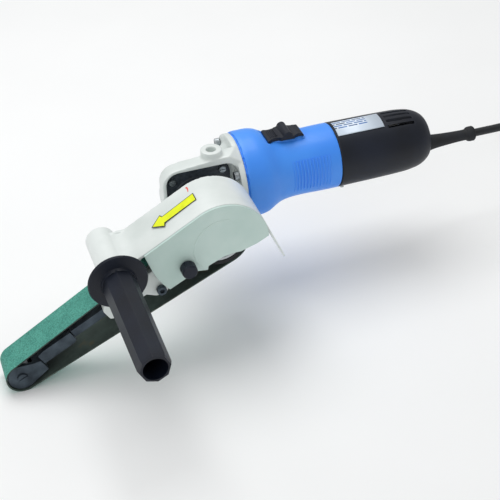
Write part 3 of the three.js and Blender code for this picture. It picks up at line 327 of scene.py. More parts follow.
# Soft rubber: black with a dry bloom, duller than the lead.
rubber, tree, shader, place = new_finish("soft_black_rubber", {"IOR": 1.52})
bloom = add_node(tree, "ShaderNodeTexNoise", {}, {"Vector": place, "Scale": 130, "Detail": 6})
tone = add_node(tree, "ShaderNodeValToRGB", {"stops": [(0.35, "0A0C10"), (0.8, "1C2027")]},
                {"Fac": bloom.outputs["Fac"]})
pores = add_node(tree, "ShaderNodeTexNoise", {}, {"Vector": place, "Scale": 1600, "Detail": 2})
gloss = add_node(tree, "ShaderNodeMapRange", {},
                 {"Value": bloom.outputs["Fac"], "To Min": 0.6, "To Max": 0.85})
bump = add_node(tree, "ShaderNodeBump", {},
                {"Height": pores.outputs["Fac"], "Strength": 0.3, "Distance": 0.0002})
tree.links.new(tone.outputs["Color"], shader.inputs["Base Color"])
tree.links.new(gloss.outputs["Result"], shader.inputs["Roughness"])
tree.links.new(bump.outputs["Normal"], shader.inputs["Normal"])
fit_piece(relief, rubber, "motor_unit", "black_rubber", "strain_relief")


# ---- rear cover ------------------------------------------------------------------------
# Black glass-filled nylon cap over the motor's tail, moulded in one with rows of cooling
# slots above and below. Two screws from underneath hold it to the housing.
def carve(obj, operation, *tools):
    """Cuts the tools from a solid, or joins them to it, and removes the tools."""
    for tool in tools:
        boolean = obj.modifiers.new("boolean", "BOOLEAN")
        boolean.operation = operation
        boolean.solver = "MANIFOLD"
        boolean.object = tool
    apply_modifiers(obj)
    for tool in tools:
        bpy.data.objects.remove(tool)
    return obj


def block(name, x0, x1, y0, y1, z0, z1):
    """A plain cutter, never shown."""
    points = [(x, y, z) for x in (x0, x1) for y in (y0, y1) for z in (z0, z1)]
    faces = [(0, 1, 3, 2), (4, 6, 7, 5), (0, 4, 5, 1), (2, 3, 7, 6), (0, 2, 6, 4), (1, 5, 7, 3)]
    return solid(name, points, faces)


MOTOR_Y = 78
VENT_COUNT, VENT_FIRST, VENT_PITCH = 4, -28, 13     # slots, degrees from the top


def new_geometry_tree(name, inputs):
    """A Geometry Nodes tree with named number inputs."""
    group = bpy.data.node_groups.new(name, "GeometryNodeTree")
    group.interface.new_socket("Geometry", in_out="INPUT", socket_type="NodeSocketGeometry")
    for label, value in inputs.items():
        kind = "NodeSocketInt" if isinstance(value, int) else "NodeSocketFloat"
        socket = group.interface.new_socket(label, in_out="INPUT", socket_type=kind)
        socket.default_value = value
    group.interface.new_socket("Geometry", in_out="OUTPUT", socket_type="NodeSocketGeometry")
    return group, group.nodes.new("NodeGroupInput").outputs


def grow(name, group, material, values):
    """Runs a tree on an empty mesh with its inputs set, and returns the plain result."""
    obj = bpy.data.objects.new(name, bpy.data.meshes.new(name))
    scene.collection.objects.link(obj)
    modifier = obj.modifiers.new("tree", "NODES")
    modifier.node_group = group
    for node in group.nodes:
        if node.bl_idname == "GeometryNodeSetMaterial":
            node.inputs["Material"].default_value = material
    for item in group.interface.items_tree:
        if item.in_out == "INPUT" and item.name in values:
            modifier[item.identifier] = values[item.name]
    return apply_modifiers(obj)


# Each slot is a box laid along the cover, turned round the motor's axis by its pitch.
vents, given = new_geometry_tree("vent_slots", {
    "Count": 4, "Width": 2.2, "Length": 26.0, "First Turn": 0.0, "Pitch": 0.2, "Start": 187.0})
size = add_node(vents, "ShaderNodeCombineXYZ", {}, {"X": given["Length"], "Y": given["Width"], "Z": 22.0})
box = add_node(vents, "GeometryNodeMeshCube", {}, {"Size": size.outputs[0]})
half = add_node(vents, "ShaderNodeMath", {"operation": "MULTIPLY"}, {0: given["Length"], 1: 0.5})
middle = add_node(vents, "ShaderNodeMath", {"operation": "ADD"}, {0: given["Start"], 1: half.outputs[0]})
lift = add_node(vents, "ShaderNodeCombineXYZ", {}, {"X": middle.outputs[0], "Z": 29.0})
raised = add_node(vents, "GeometryNodeTransform", {}, {"Geometry": box.outputs["Mesh"],
                                                       "Translation": lift.outputs[0]})
places = add_node(vents, "GeometryNodeMeshLine", {}, {"Count": given["Count"], "Offset": (0, 0, 0)})
index = add_node(vents, "GeometryNodeInputIndex")
swing = add_node(vents, "ShaderNodeMath", {"operation": "MULTIPLY_ADD"},
                 {0: index.outputs[0], 1: given["Pitch"], 2: given["First Turn"]})
turn = add_node(vents, "ShaderNodeCombineXYZ", {}, {"X": swing.outputs[0]})
copies = add_node(vents, "GeometryNodeInstanceOnPoints", {},
                  {"Points": places.outputs["Mesh"], "Instance": raised.outputs[0],
                   "Rotation": turn.outputs[0]})
real = add_node(vents, "GeometryNodeRealizeInstances", {}, {"Geometry": copies.outputs[0]})
shift = add_node(vents, "GeometryNodeTransform", {}, {"Geometry": real.outputs[0],
                                                      "Translation": (0, MOTOR_Y, 0)})
dress = add_node(vents, "GeometryNodeSetMaterial", {}, {"Geometry": shift.outputs[0]})
add_node(vents, "NodeGroupOutput", {}, {0: dress.outputs[0]})

cover_line = curved([(30.2, 136.6), (30.15, 143), (30, 152), (29.8, 175), (29.2, 200), (28.2, 210),
                     (26.9, 216.5), (24.6, 222), (21.6, 226.2), (19.4, 228), (18.2, 228.7)], 5)
cap = turned("rear_cap", [(0, 136), (29.6, 136)] + cover_line + [(0, 229.2)], "X", (MOTOR_Y, 0), 128)
inside = turned("cap_inside", [(0, 135), (27.7, 135), (27.3, 170), (26.2, 205), (20, 220), (0, 224)], "X",
                (MOTOR_Y, 0), 64)
lead_hole = turned("cap_hole", [(0, 205), (8.8, 205), (8.8, 240), (0, 240)], "X", (76.9, -8.8), 48)
carve(cap, "DIFFERENCE", inside, lead_hole)
for side, first in (("upper", VENT_FIRST), ("lower", VENT_FIRST + 180)):
    slots = grow(f"{side}_vents", vents, None, {
        "Count": VENT_COUNT, "Width": 3.0, "First Turn": math.radians(-first),
        "Pitch": math.radians(-VENT_PITCH)})
    carve(cap, "DIFFERENCE", slots)
for side in (-1, 1):
    carve(cap, "DIFFERENCE", turned("screw_hole", [(0, -40), (2.2, -40), (2.2, -20), (0, -20)], "Z",
                                    (142, MOTOR_Y + 12 * side), 24))
round_edges(cap, 0.35, 2, 40)
seat(cap)

# Moulded glass-filled nylon: black with a blue cast, spark-eroded grain about 0.3 mm across
# drawn a little coarser so that it shows, and glossier where hands have rubbed it.
nylon, tree, shader, place = new_finish("black_glass_filled_nylon",
                                        {"IOR": 1.45, "Specular IOR Level": 0.4})
rubbed = add_node(tree, "ShaderNodeTexNoise", {}, {"Vector": place, "Scale": 28, "Detail": 4})
tone = add_node(tree, "ShaderNodeValToRGB", {"stops": [(0.3, "0B101A"), (0.72, "141B2A")]},
                {"Fac": rubbed.outputs["Fac"]})
grain = add_node(tree, "ShaderNodeTexVoronoi", {}, {"Vector": place, "Scale": 1500})
gloss = add_node(tree, "ShaderNodeMapRange", {},
                 {"Value": rubbed.outputs["Fac"], "To Min": 0.36, "To Max": 0.55})
bump = add_node(tree, "ShaderNodeBump", {},
                {"Height": grain.outputs["Distance"], "Strength": 0.3, "Distance": 0.00018})
tree.links.new(tone.outputs["Color"], shader.inputs["Base Color"])
tree.links.new(gloss.outputs["Result"], shader.inputs["Roughness"])
tree.links.new(bump.outputs["Normal"], shader.inputs["Normal"])
fit_piece(cap, nylon, "motor_unit", "black_plastic", "rear_cover")

# ---- motor housing ---------------------------------------------------------------------
# Blue polyamide barrel that holds the motor, wide over the fan and waisted for the hand. It
# is moulded in one, with fine grip ribs round both sides and a raised seat for the switch.
barrel_line = curved([(39.5, 46.2), (39.8, 48.5), (39.8, 53), (39.8, 58), (39.4, 62), (38.2, 66.5),
                      (35.8, 71.2), (33, 76.5), (31, 83), (30, 91), (29.7, 100), (29.8, 109),
                      (30.1, 118), (30.2, 126), (30.2, 134.9)], 4)
barrel = turned("motor_barrel", [(0, 44), (37.3, 44), (37.3, 45.1), (39.2, 45.3)] + barrel_line
                + [(29.6, 135.7), (0, 135.7)], "X", (MOTOR_Y, 0), 128)
carve(barrel, "UNION", block("switch_seat", 70, 108, 70, 86, 20, 31.4))
carve(barrel, "DIFFERENCE", turned(
    "barrel_inside", [(0, 43), (36.1, 43), (37, 50), (37, 60), (26.8, 74), (26.8, 126), (11.3, 126),
                      (11.3, 132), (26.8, 132), (26.8, 137), (0, 137)], "X", (MOTOR_Y, 0), 64))
carve(barrel, "DIFFERENCE", block("above_seat", 69, 110, 66, 90, 31.4, 50))
carve(barrel, "DIFFERENCE", block("slide_slot", 74, 106, 73, 83, 26, 45))
round_edges(barrel, 0.5, 3, 38)
seat(barrel)

# Ribs follow the barrel in a row of thin arcs, each a round bead half sunk in the wall.
ribs, given = new_geometry_tree("grip_ribs", {
    "Count": 12, "Pitch": 3.1, "Start": 90.5, "Radius": 29.95, "Bead": 0.85, "First Turn": 0.0, "Sweep": 1.2})
arc = add_node(ribs, "GeometryNodeCurveArc", {}, {"Resolution": 40, "Radius": given["Radius"],
                                                 "Start Angle": given["First Turn"],
                                                 "Sweep Angle": given["Sweep"]})
bead = add_node(ribs, "GeometryNodeCurvePrimitiveCircle", {}, {"Resolution": 8, "Radius": given["Bead"]})
rib = add_node(ribs, "GeometryNodeCurveToMesh", {}, {"Curve": arc.outputs[0],
                                                    "Profile Curve": bead.outputs[0], "Fill Caps": True})
start = add_node(ribs, "ShaderNodeCombineXYZ", {}, {"X": given["Start"], "Y": float(MOTOR_Y)})
offset = add_node(ribs, "ShaderNodeCombineXYZ", {}, {"X": given["Pitch"]})
row = add_node(ribs, "GeometryNodeMeshLine", {}, {"Count": given["Count"], "Start Location": start.outputs[0],
                                                 "Offset": offset.outputs[0]})
laid = add_node(ribs, "GeometryNodeInstanceOnPoints", {},
                {"Points": row.outputs["Mesh"], "Instance": rib.outputs[0],
                 "Rotation": (0, math.pi / 2, 0)})
real = add_node(ribs, "GeometryNodeRealizeInstances", {}, {"Geometry": laid.outputs[0]})
smooth = add_node(ribs, "GeometryNodeSetShadeSmooth", {}, {0: real.outputs[0]})
dress = add_node(ribs, "GeometryNodeSetMaterial", {}, {"Geometry": smooth.outputs[0]})
add_node(ribs, "NodeGroupOutput", {}, {0: dress.outputs[0]})

# Blue polyamide: an even strong blue, a satin skin with moulding grain, and a slightly
# deeper tone where the wall is thick.
polyamide, tree, shader, place = new_finish("blue_moulded_polyamide",
                                            {"IOR": 1.53, "Specular IOR Level": 0.5, "Coat Weight": 0.08})
cloud = add_node(tree, "ShaderNodeTexNoise", {}, {"Vector": place, "Scale": 18, "Detail": 3})
tone = add_node(tree, "ShaderNodeValToRGB", {"stops": [(0.3, "3B8DF6"), (0.7, "489AFB")]},
                {"Fac": cloud.outputs["Fac"]})
grain = add_node(tree, "ShaderNodeTexVoronoi", {}, {"Vector": place, "Scale": 1700})
gloss = add_node(tree, "ShaderNodeMapRange", {},
                 {"Value": cloud.outputs["Fac"], "To Min": 0.36, "To Max": 0.5})
bump = add_node(tree, "ShaderNodeBump", {},
                {"Height": grain.outputs["Distance"], "Strength": 0.16, "Distance": 0.00015})
tree.links.new(tone.outputs["Color"], shader.inputs["Base Color"])
tree.links.new(gloss.outputs["Result"], shader.inputs["Roughness"])
tree.links.new(bump.outputs["Normal"], shader.inputs["Normal"])
fit_piece(barrel, polyamide, "motor_unit", "blue_plastic", "motor_housing")
for side, first in (("near", 236), ("far", 66)):
    # Turns are measured from below the axis, towards the belt.
    grip = seat(grow(f"grip_ribs_{side}", ribs, polyamide,
                     {"First Turn": math.radians(first), "Sweep": math.radians(58)}))
    fit_piece(grip, polyamide, "motor_unit", "blue_plastic")

# ---- switch slider ---------------------------------------------------------------------
# Black nylon thumb slide on top of the barrel. It slides towards the tail and back, and has
# a raised roll for the thumb and fine cross ribs in front of it.
cap_side = [(72.5, 31.9), (106.5, 31.9), (106.4, 33.4), (105, 34.6), (101.5, 35.2), (97.5, 34.6), (96, 34.8)]
cap_side += [(91.3 + 4.2 * math.cos(a), 35.4 + 4.2 * math.sin(a))
             for a in (math.radians(10 + 160 * k / 12) for k in range(13))]
cap_side += [(86, 35.3), (80, 35.4), (74.6, 34.8), (72.5, 34.2)]
count = len(cap_side)
SLIDE_HALF = 10.2
slide_points = [(x, MOTOR_Y + y, z) for y in (-SLIDE_HALF, SLIDE_HALF) for x, z in cap_side]
slide_faces = [tuple(range(count)), tuple(range(2 * count - 1, count - 1, -1))]
slide_faces += [(k, (k + 1) % count, count + (k + 1) % count, count + k) for k in range(count)]
slider = solid("switch_thumb_slide", slide_points, slide_faces)
waists = [turned("waist", [(0, 31), (7.5, 31), (7.5, 50), (0, 50)], "Z", (x, MOTOR_Y + side * 15.6), 48)
          for x in (79.5, 102.5) for side in (-1, 1)]
carve(slider, "DIFFERENCE", *waists)
carve(slider, "UNION", block("slide_foot", 74.8, 96.8, 73.4, 82.6, 29, 33))
round_edges(slider, 0.6, 3, 38)
seat(slider)
fit_piece(slider, nylon, "switch", "black_plastic", "switch_slider")
thumb, given = new_geometry_tree("thumb_ribs", {"Count": 5, "Pitch": 1.5, "Start": 76.0, "Height": 34.9})
bead = add_node(thumb, "GeometryNodeMeshCylinder", {"fill_type": "NGON"},
                {"Vertices": 12, "Radius": 0.45, "Depth": 12.0})
start = add_node(thumb, "ShaderNodeCombineXYZ", {},
                 {"X": given["Start"], "Y": float(MOTOR_Y), "Z": given["Height"]})
offset = add_node(thumb, "ShaderNodeCombineXYZ", {}, {"X": given["Pitch"], "Z": 0.2})
row = add_node(thumb, "GeometryNodeMeshLine", {},
               {"Count": given["Count"], "Start Location": start.outputs[0],
                "Offset": offset.outputs[0]})
laid = add_node(thumb, "GeometryNodeInstanceOnPoints", {},
                {"Points": row.outputs["Mesh"], "Instance": bead.outputs["Mesh"],
                 "Rotation": (math.pi / 2, 0, 0)})
real = add_node(thumb, "GeometryNodeRealizeInstances", {}, {"Geometry": laid.outputs[0]})
dress = add_node(thumb, "GeometryNodeSetMaterial", {}, {"Geometry": real.outputs[0]})
add_node(thumb, "NodeGroupOutput", {}, {0: dress.outputs[0]})
ribs_on_slide = seat(grow("thumb_slide_ribs", thumb, nylon, {}))
fit_piece(ribs_on_slide, nylon, "switch", "black_plastic")

# ---- gear case -------------------------------------------------------------------------
# Aluminium die casting painted white, with a flange against the motor and a threaded boss
# on top for the handle. Cast corners are soft, so the shape is remeshed and relaxed.
def cast_shape(node, name, voxel, passes):
    """A node's shape with the small radii that a casting has along every edge."""
    obj = shape_of(node, name)
    remesh = obj.modifiers.new("skin", "REMESH")
    remesh.mode = "VOXEL"
    remesh.voxel_size = voxel
    remesh.use_smooth_shade = True
    relax = obj.modifiers.new("relax", "SMOOTH")
    relax.factor = 0.5
    relax.iterations = passes
    return apply_modifiers(obj)


gear_case = cast_shape("gear_case", "gear_case_casting", 0.0008, 6)

# Powder paint on cast aluminium: warm white, faint orange peel about 1.5 mm across, and
# a little grime in the low places.
enamel, tree, shader, place = new_finish("white_powder_paint", {"IOR": 1.5, "Coat Weight": 0.15,
                                                                "Coat Roughness": 0.25})
grime = add_node(tree, "ShaderNodeTexNoise", {}, {"Vector": place, "Scale": 24, "Detail": 5})
tone = add_node(tree, "ShaderNodeValToRGB", {"stops": [(0.25, "D0D8D5"), (0.6, "E3E9E7")]},
                {"Fac": grime.outputs["Fac"]})
peel = add_node(tree, "ShaderNodeTexNoise", {}, {"Vector": place, "Scale": 520, "Detail": 1})
gloss = add_node(tree, "ShaderNodeMapRange", {},
                 {"Value": grime.outputs["Fac"], "To Min": 0.45, "To Max": 0.32})
bump = add_node(tree, "ShaderNodeBump", {},
                {"Height": peel.outputs["Fac"], "Strength": 0.12, "Distance": 0.0004})
tree.links.new(tone.outputs["Color"], shader.inputs["Base Color"])
tree.links.new(gloss.outputs["Result"], shader.inputs["Roughness"])
tree.links.new(bump.outputs["Normal"], shader.inputs["Normal"])
fit_piece(gear_case, enamel, "motor_unit", "white_casting", "gear_case")

# ---- bearing plate ---------------------------------------------------------------------
# Dark painted casting inside the gear case's open side. Its neck carries the near spindle
# bearing, and the belt arm clamps round it.
bearing_plate = cast_shape("bearing_plate", "bearing_plate_casting", 0.0006, 4)

# Stove enamel on iron: nearly black, softly glossy, with a fine cast grain under it.
stoved, tree, shader, place = new_finish("dark_stove_enamel", {"IOR": 1.5})
cast = add_node(tree, "ShaderNodeTexNoise", {}, {"Vector": place, "Scale": 420, "Detail": 5})
tone = add_node(tree, "ShaderNodeValToRGB", {"stops": [(0.3, "20262D"), (0.75, "3A434B")]},
                {"Fac": cast.outputs["Fac"]})
bump = add_node(tree, "ShaderNodeBump", {},
                {"Height": cast.outputs["Fac"], "Strength": 0.35, "Distance": 0.0003})
tree.links.new(tone.outputs["Color"], shader.inputs["Base Color"])
tree.links.new(bump.outputs["Normal"], shader.inputs["Normal"])
shader.inputs["Roughness"].default_value = 0.45
fit_piece(bearing_plate, stoved, "motor_unit", "dark_metal", "bearing_plate")

# ---- belt cover ------------------------------------------------------------------------
# White painted casting over the belt: a band round the drive wheel with a sheet flap
# behind, a back wall, the handle boss and the clamp collar, all in one.
belt_cover = cast_shape("belt_cover", "belt_cover_casting", 0.0007, 5)
fit_piece(belt_cover, enamel, "arm", "white_casting", "belt_cover")

# ---- side door -------------------------------------------------------------------------
# Pressed sheet steel, 2 mm thick, over the near side of the belt. It is held by the knob,
# swings down round it, and has a shallow pressed ring over the wheel.
door = shape_of("side_door", "belt_side_door", 0.0006, 3)

# Sheet steel in pale grey-green enamel, flatter and duller than the casting.
door_paint, tree, shader, place = new_finish("grey_green_sheet_enamel", {"IOR": 1.5, "Coat Weight": 0.1})
haze = add_node(tree, "ShaderNodeTexNoise", {}, {"Vector": place, "Scale": 30, "Detail": 4})
tone = add_node(tree, "ShaderNodeValToRGB", {"stops": [(0.3, "B9D2CB"), (0.7, "C9DDD7")]},
                {"Fac": haze.outputs["Fac"]})
peel = add_node(tree, "ShaderNodeTexNoise", {}, {"Vector": place, "Scale": 600, "Detail": 1})
gloss = add_node(tree, "ShaderNodeMapRange", {},
                 {"Value": haze.outputs["Fac"], "To Min": 0.5, "To Max": 0.36})
bump = add_node(tree, "ShaderNodeBump", {},
                {"Height": peel.outputs["Fac"], "Strength": 0.1, "Distance": 0.0003})
tree.links.new(tone.outputs["Color"], shader.inputs["Base Color"])
tree.links.new(gloss.outputs["Result"], shader.inputs["Roughness"])
tree.links.new(bump.outputs["Normal"], shader.inputs["Normal"])
fit_piece(door, door_paint, "door", "door_grey", "side_door")

# The pressed ring is a low bead, part of a circle about the drive wheel.
ring_points, ring_faces, ring_count, ring_steps = [], [], 9, 60
for step in range(ring_steps + 1):
    turn = math.radians(42 + 158 * step / ring_steps)
    for k in range(ring_count):
        swell = math.pi * k / (ring_count - 1)
        radius = 26 + 0.9 * math.cos(swell)
        taper = ease(step, 0, 6) * (1 - ease(step, ring_steps - 6, ring_steps))
        ring_points.append((radius * math.cos(turn), -24.58 - 0.35 * math.sin(swell) * taper,
                            radius * math.sin(turn)))
for step in range(ring_steps):
    for k in range(ring_count):
        a, b = step * ring_count + k, step * ring_count + (k + 1) % ring_count
        ring_faces.append((a, b, b + ring_count, a + ring_count))
ring_faces += [tuple(range(ring_count)), tuple(ring_steps * ring_count + k for k in range(ring_count))]
door_ring = seat(solid("door_pressed_ring", ring_points, ring_faces), True)
door_ring.data.shade_smooth()
fit_piece(door_ring, door_paint, "door", "door_grey")

# ---- door knob -------------------------------------------------------------------------
# Small fluted thumb knob in black nylon on its own steel screw.
knob = shape_of("door_knob", "door_thumb_knob", 0.0004, 2)
fit_piece(knob, nylon, "knob", "black_plastic", "door_knob")

# ---- sanding belt ----------------------------------------------------------------------
# Cloth belt with green abrasive grain outside and cotton inside, whose dark grey-green is painted
# shade, closed by a slanted glued joint. It runs round the drive wheel and the nose pulley.
BELT_HALF = 15
DRIVE_R, NOSE_R, CENTRES, BELT_THICK = 26.1, 14.25, 206.2, 1.2


def belt_loop(drive, nose):
    """The belt's outline in the arm's own plane, X towards the motor, as evenly stepped points."""
    lean = math.asin((drive - nose) / CENTRES)
    side = math.pi / 2 + lean
    points = [(drive * math.cos(a), drive * math.sin(a))
              for a in (-side + 2 * side * k / 64 for k in range(65))]
    top_end = (-CENTRES + nose * math.cos(side), nose * math.sin(side))
    points += [tuple(p + (q - p) * k / 40 for p, q in zip(points[-1], top_end)) for k in range(1, 40)]
    sweep = 2 * math.pi - 2 * side
    points += [(-CENTRES + nose * math.cos(side + sweep * k / 48), nose * math.sin(side + sweep * k / 48))
               for k in range(49)]
    points += [tuple(p + (q - p) * k / 40 for p, q in zip(points[-1], points[0])) for k in range(1, 40)]
    return points


outer_loop = belt_loop(DRIVE_R, NOSE_R)
inner_loop = belt_loop(DRIVE_R - BELT_THICK, NOSE_R - BELT_THICK)
count = len(outer_loop)
across = ([-BELT_HALF, -BELT_HALF + 0.25] + [-14 + 28 * k / 8 for k in range(9)]
          + [BELT_HALF - 0.25, BELT_HALF])
points = [(x, y, z) for y in across for x, z in outer_loop]
points += [(x, y, z) for y in (-BELT_HALF, BELT_HALF) for x, z in inner_loop]
rows = len(across)
faces = []
for row in range(rows - 1):
    for k in range(count):
        n = (k + 1) % count
        faces.append((row * count + k, row * count + n, (row + 1) * count + n, (row + 1) * count + k))
outside_faces = len(faces)
near, far = rows * count, (rows + 1) * count
for k in range(count):
    n = (k + 1) % count
    faces.append((near + k, near + n, far + n, far + k))
    faces.append((k, n, near + n, near + k))
    faces.append(((rows - 1) * count + k, (rows - 1) * count + n, far + n, far + k))
belt = seat(solid("abrasive_belt", points, faces), True)
belt.data.shade_smooth()
belt.data.set_sharp_from_angle(angle=math.radians(45))

# Abrasive cloth: closely packed green grains. Real grains of 0.3 mm are drawn 0.7 mm
# across so that they show, with darker resin between them and worn paler patches.
grit, tree, shader, place = new_finish("green_abrasive_grain", {"IOR": 1.6, "Roughness": 0.8})
grains = add_node(tree, "ShaderNodeTexVoronoi", {}, {"Vector": place, "Scale": 850})
wear = add_node(tree, "ShaderNodeTexNoise", {}, {"Vector": place, "Scale": 60, "Detail": 6, "Roughness": 0.7})
speck = add_node(tree, "ShaderNodeValToRGB", {"stops": [(0.0, "6FC0AE"), (0.45, "3F9384"), (1.0, "154C45")]},
                 {"Fac": grains.outputs["Distance"]})
patch = add_node(tree, "ShaderNodeValToRGB", {"stops": [(0.35, "2F8072"), (0.7, "58AC9A")]},
                 {"Fac": wear.outputs["Fac"]})
tone = add_node(tree, "ShaderNodeMix", {"data_type": "RGBA", "blend_type": "MIX"},
                {0: 0.4, 6: speck.outputs["Color"], 7: patch.outputs["Color"]})
bump = add_node(tree, "ShaderNodeBump", {"invert": True},
                {"Height": grains.outputs["Distance"], "Strength": 0.6, "Distance": 0.0005})
tree.links.new(tone.outputs[2], shader.inputs["Base Color"])
tree.links.new(bump.outputs["Normal"], shader.inputs["Normal"])

# Backing cloth: twill stiffened with glue, threads half a millimetre apart. Its dark
# grey-green is painted shade, varied at random towards brown.
shade_painted_backing, tree, shader, place = new_finish("twill_backing_painted_shade", {"IOR": 1.5, "Roughness": 0.85})
warp = add_node(tree, "ShaderNodeTexWave", {"bands_direction": "DIAGONAL"},
                {"Vector": place, "Scale": 320, "Distortion": 1.5})
stain = add_node(tree, "ShaderNodeTexNoise", {}, {"Vector": place, "Scale": 50, "Detail": 5})
tone = add_node(tree, "ShaderNodeValToRGB", {"stops": [(0.3, "27332F"), (0.62, "3E4D47"), (0.8, "5A5136")]},
                {"Fac": stain.outputs["Fac"]})
bump = add_node(tree, "ShaderNodeBump", {},
                {"Height": warp.outputs["Fac"], "Strength": 0.5, "Distance": 0.0003})
tree.links.new(tone.outputs["Color"], shader.inputs["Base Color"])
tree.links.new(bump.outputs["Normal"], shader.inputs["Normal"])
fit_piece(belt, grit, "arm", "belt_grit", "sanding_belt")
belt.data.materials.append(shade_painted_backing)
lean = Matrix.Rotation(ARM_TILT, 3, "Y")
for face in belt.data.polygons:
    spot = lean @ ((face.center - WHEEL) * 1000)
    normal = lean @ face.normal
    hub = Vector((0 if spot.x > -CENTRES / 2 else -CENTRES, 0, 0))
    outward = Vector((spot.x - hub.x, 0, spot.z)) if not -CENTRES < spot.x < 0 else Vector((0, 0, spot.z))
    face.material_index = 0 if normal.dot(outward) > 0 and abs(normal.y) < 0.5 else 1

# ---- drive wheel -----------------------------------------------------------------------
# Turned aluminium hub on the spindle, with a smooth rubber tyre that grips the back of the
# belt.
tread = turned("drive_wheel_tyre", [(20.8, -15), (24.2, -15), (24.6, -14.6), (24.6, 14.6), (24.2, 15),
                                    (20.8, 15), (20.8, -15)], "Y", (0, 0), 96)
seat(tread)
fit_piece(tread, rubber, "drive", "tyre_rubber", "drive_tyre")

# Turned aluminium: bright grey with the lathe's fine rings.
alloy, tree, shader, place = new_finish("turned_aluminium", {"Metallic": 1.0})
rings = add_node(tree, "ShaderNodeTexWave", {"wave_type": "RINGS", "rings_direction": "Y"},
                 {"Vector": place, "Scale": 400, "Distortion": 0.6})
tone = add_node(tree, "ShaderNodeValToRGB", {"stops": [(0.2, "A9AFB2"), (0.8, "C6CBCD")]},
                {"Fac": rings.outputs["Fac"]})
gloss = add_node(tree, "ShaderNodeMapRange", {},
                 {"Value": rings.outputs["Fac"], "To Min": 0.28, "To Max": 0.44})
tree.links.new(tone.outputs["Color"], shader.inputs["Base Color"])
tree.links.new(gloss.outputs["Result"], shader.inputs["Roughness"])
fit_piece(shape_of("drive_hub", "drive_wheel_hub", 0.0004), alloy, "drive", "alloy", "drive_hub")

# ---- steel pieces ----------------------------------------------------------------------
# Ground and turned steel: spindle, shafts, bearings, pulley, studs and screws.
steel, tree, shader, place = new_finish("ground_steel", {"Metallic": 1.0})
grind = add_node(tree, "ShaderNodeTexNoise", {}, {"Vector": place, "Scale": 700, "Detail": 4})
tone = add_node(tree, "ShaderNodeValToRGB", {"stops": [(0.25, "8C9397"), (0.75, "B4BABD")]},
                {"Fac": grind.outputs["Fac"]})
gloss = add_node(tree, "ShaderNodeMapRange", {},
                 {"Value": grind.outputs["Fac"], "To Min": 0.2, "To Max": 0.4})
tree.links.new(tone.outputs["Color"], shader.inputs["Base Color"])
tree.links.new(gloss.outputs["Result"], shader.inputs["Roughness"])
for node in ("wheel_nut", "spindle", "spindle_bearing_near", "spindle_bearing_far",
             "motor_bearing_front", "motor_bearing_rear", "bevel_pinion", "plate_screw_1",
             "plate_screw_2", "plate_screw_3", "case_screw_1", "case_screw_2", "case_screw_3",
             "case_screw_4", "switch_link", "armature_shaft", "tail_screw_1", "tail_screw_2",
             "arm_clamp_screw", "nose_pulley", "tension_spring", "handle_stud"):
    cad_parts[node].data.materials.clear()
    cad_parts[node].data.materials.append(steel)

# ---- tension slide and nose ------------------------------------------------------------
# Blackened steel bar that slides in the arm, with the block and the forked yoke that carry
# the nose pulley. A spring behind the bar keeps the belt tight.
gunmetal, tree, shader, place = new_finish("blackened_steel", {"Metallic": 0.75})
oil = add_node(tree, "ShaderNodeTexNoise", {}, {"Vector": place, "Scale": 90, "Detail": 6})
tone = add_node(tree, "ShaderNodeValToRGB", {"stops": [(0.3, "2C343C"), (0.75, "55616B")]},
                {"Fac": oil.outputs["Fac"]})
gloss = add_node(tree, "ShaderNodeMapRange", {},
                 {"Value": oil.outputs["Fac"], "To Min": 0.35, "To Max": 0.6})
bump = add_node(tree, "ShaderNodeBump", {},
                {"Height": oil.outputs["Fac"], "Strength": 0.2, "Distance": 0.0003})
tree.links.new(tone.outputs["Color"], shader.inputs["Base Color"])
tree.links.new(gloss.outputs["Result"], shader.inputs["Roughness"])
tree.links.new(bump.outputs["Normal"], shader.inputs["Normal"])
for node, name in (("slide_bar", "tension_slide_bar"), ("slide_block", "tension_slide_block"),
                   ("nose_yoke", "nose_pulley_yoke")):
    fit_piece(shape_of(node, name, 0.0007, 3), gunmetal, "carriage", "gunmetal", node)
fit_piece(shape_of("lock_screw", "arm_lock_screw", 0.0004), gunmetal, "arm", "gunmetal", "lock_screw")
for node in ("bevel_gear", "stator_core", "armature_core", "nose_axle"):
    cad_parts[node].data.materials.clear()
    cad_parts[node].data.materials.append(gunmetal)

# ---- side handle -----------------------------------------------------------------------
# Black nylon grip with eight flats, a round guard flange and a hollow end, screwed on a
# steel stud in the arm's boss.
handle = shape_of("handle_grip", "side_handle_grip", 0.0015, 4)
fit_piece(handle, nylon, "arm", "black_plastic", "handle_grip")

# ---- printed pieces --------------------------------------------------------------------
# Vinyl film: the yellow arrow that shows which way the belt runs, edged in black, and a
# pale rating plate with plain bars where its print would be.
vinyl, tree, shader, place = new_finish("yellow_vinyl_film", {"IOR": 1.48, "Roughness": 0.35})
fade = add_node(tree, "ShaderNodeTexNoise", {}, {"Vector": place, "Scale": 160, "Detail": 3})
tone = add_node(tree, "ShaderNodeValToRGB", {"stops": [(0.3, "DDE800"), (0.7, "F0FA1C")]},
                {"Fac": fade.outputs["Fac"]})
tree.links.new(tone.outputs["Color"], shader.inputs["Base Color"])
black_ink, tree, shader, place = new_finish("black_screen_ink", {"IOR": 1.48, "Roughness": 0.45})
spread = add_node(tree, "ShaderNodeTexNoise", {}, {"Vector": place, "Scale": 900, "Detail": 2})
tone = add_node(tree, "ShaderNodeValToRGB", {"stops": [(0.3, "101208"), (0.8, "2A2D14")]},
                {"Fac": spread.outputs["Fac"]})
tree.links.new(tone.outputs["Color"], shader.inputs["Base Color"])
arrow = shape_of("direction_arrow", "belt_direction_arrow")
fit_piece(arrow, vinyl, "arm", "yellow_print", "direction_arrow")
arrow.data.materials.append(black_ink)
film = bmesh.new()
film.from_mesh(arrow.data)
arm_up = Matrix.Rotation(-ARM_TILT, 3, "Y") @ Vector((0, 0, 1))
for face in film.faces:
    face.material_index = 1
top_face = max(film.faces, key=lambda face: face.normal.dot(arm_up) * face.calc_area())
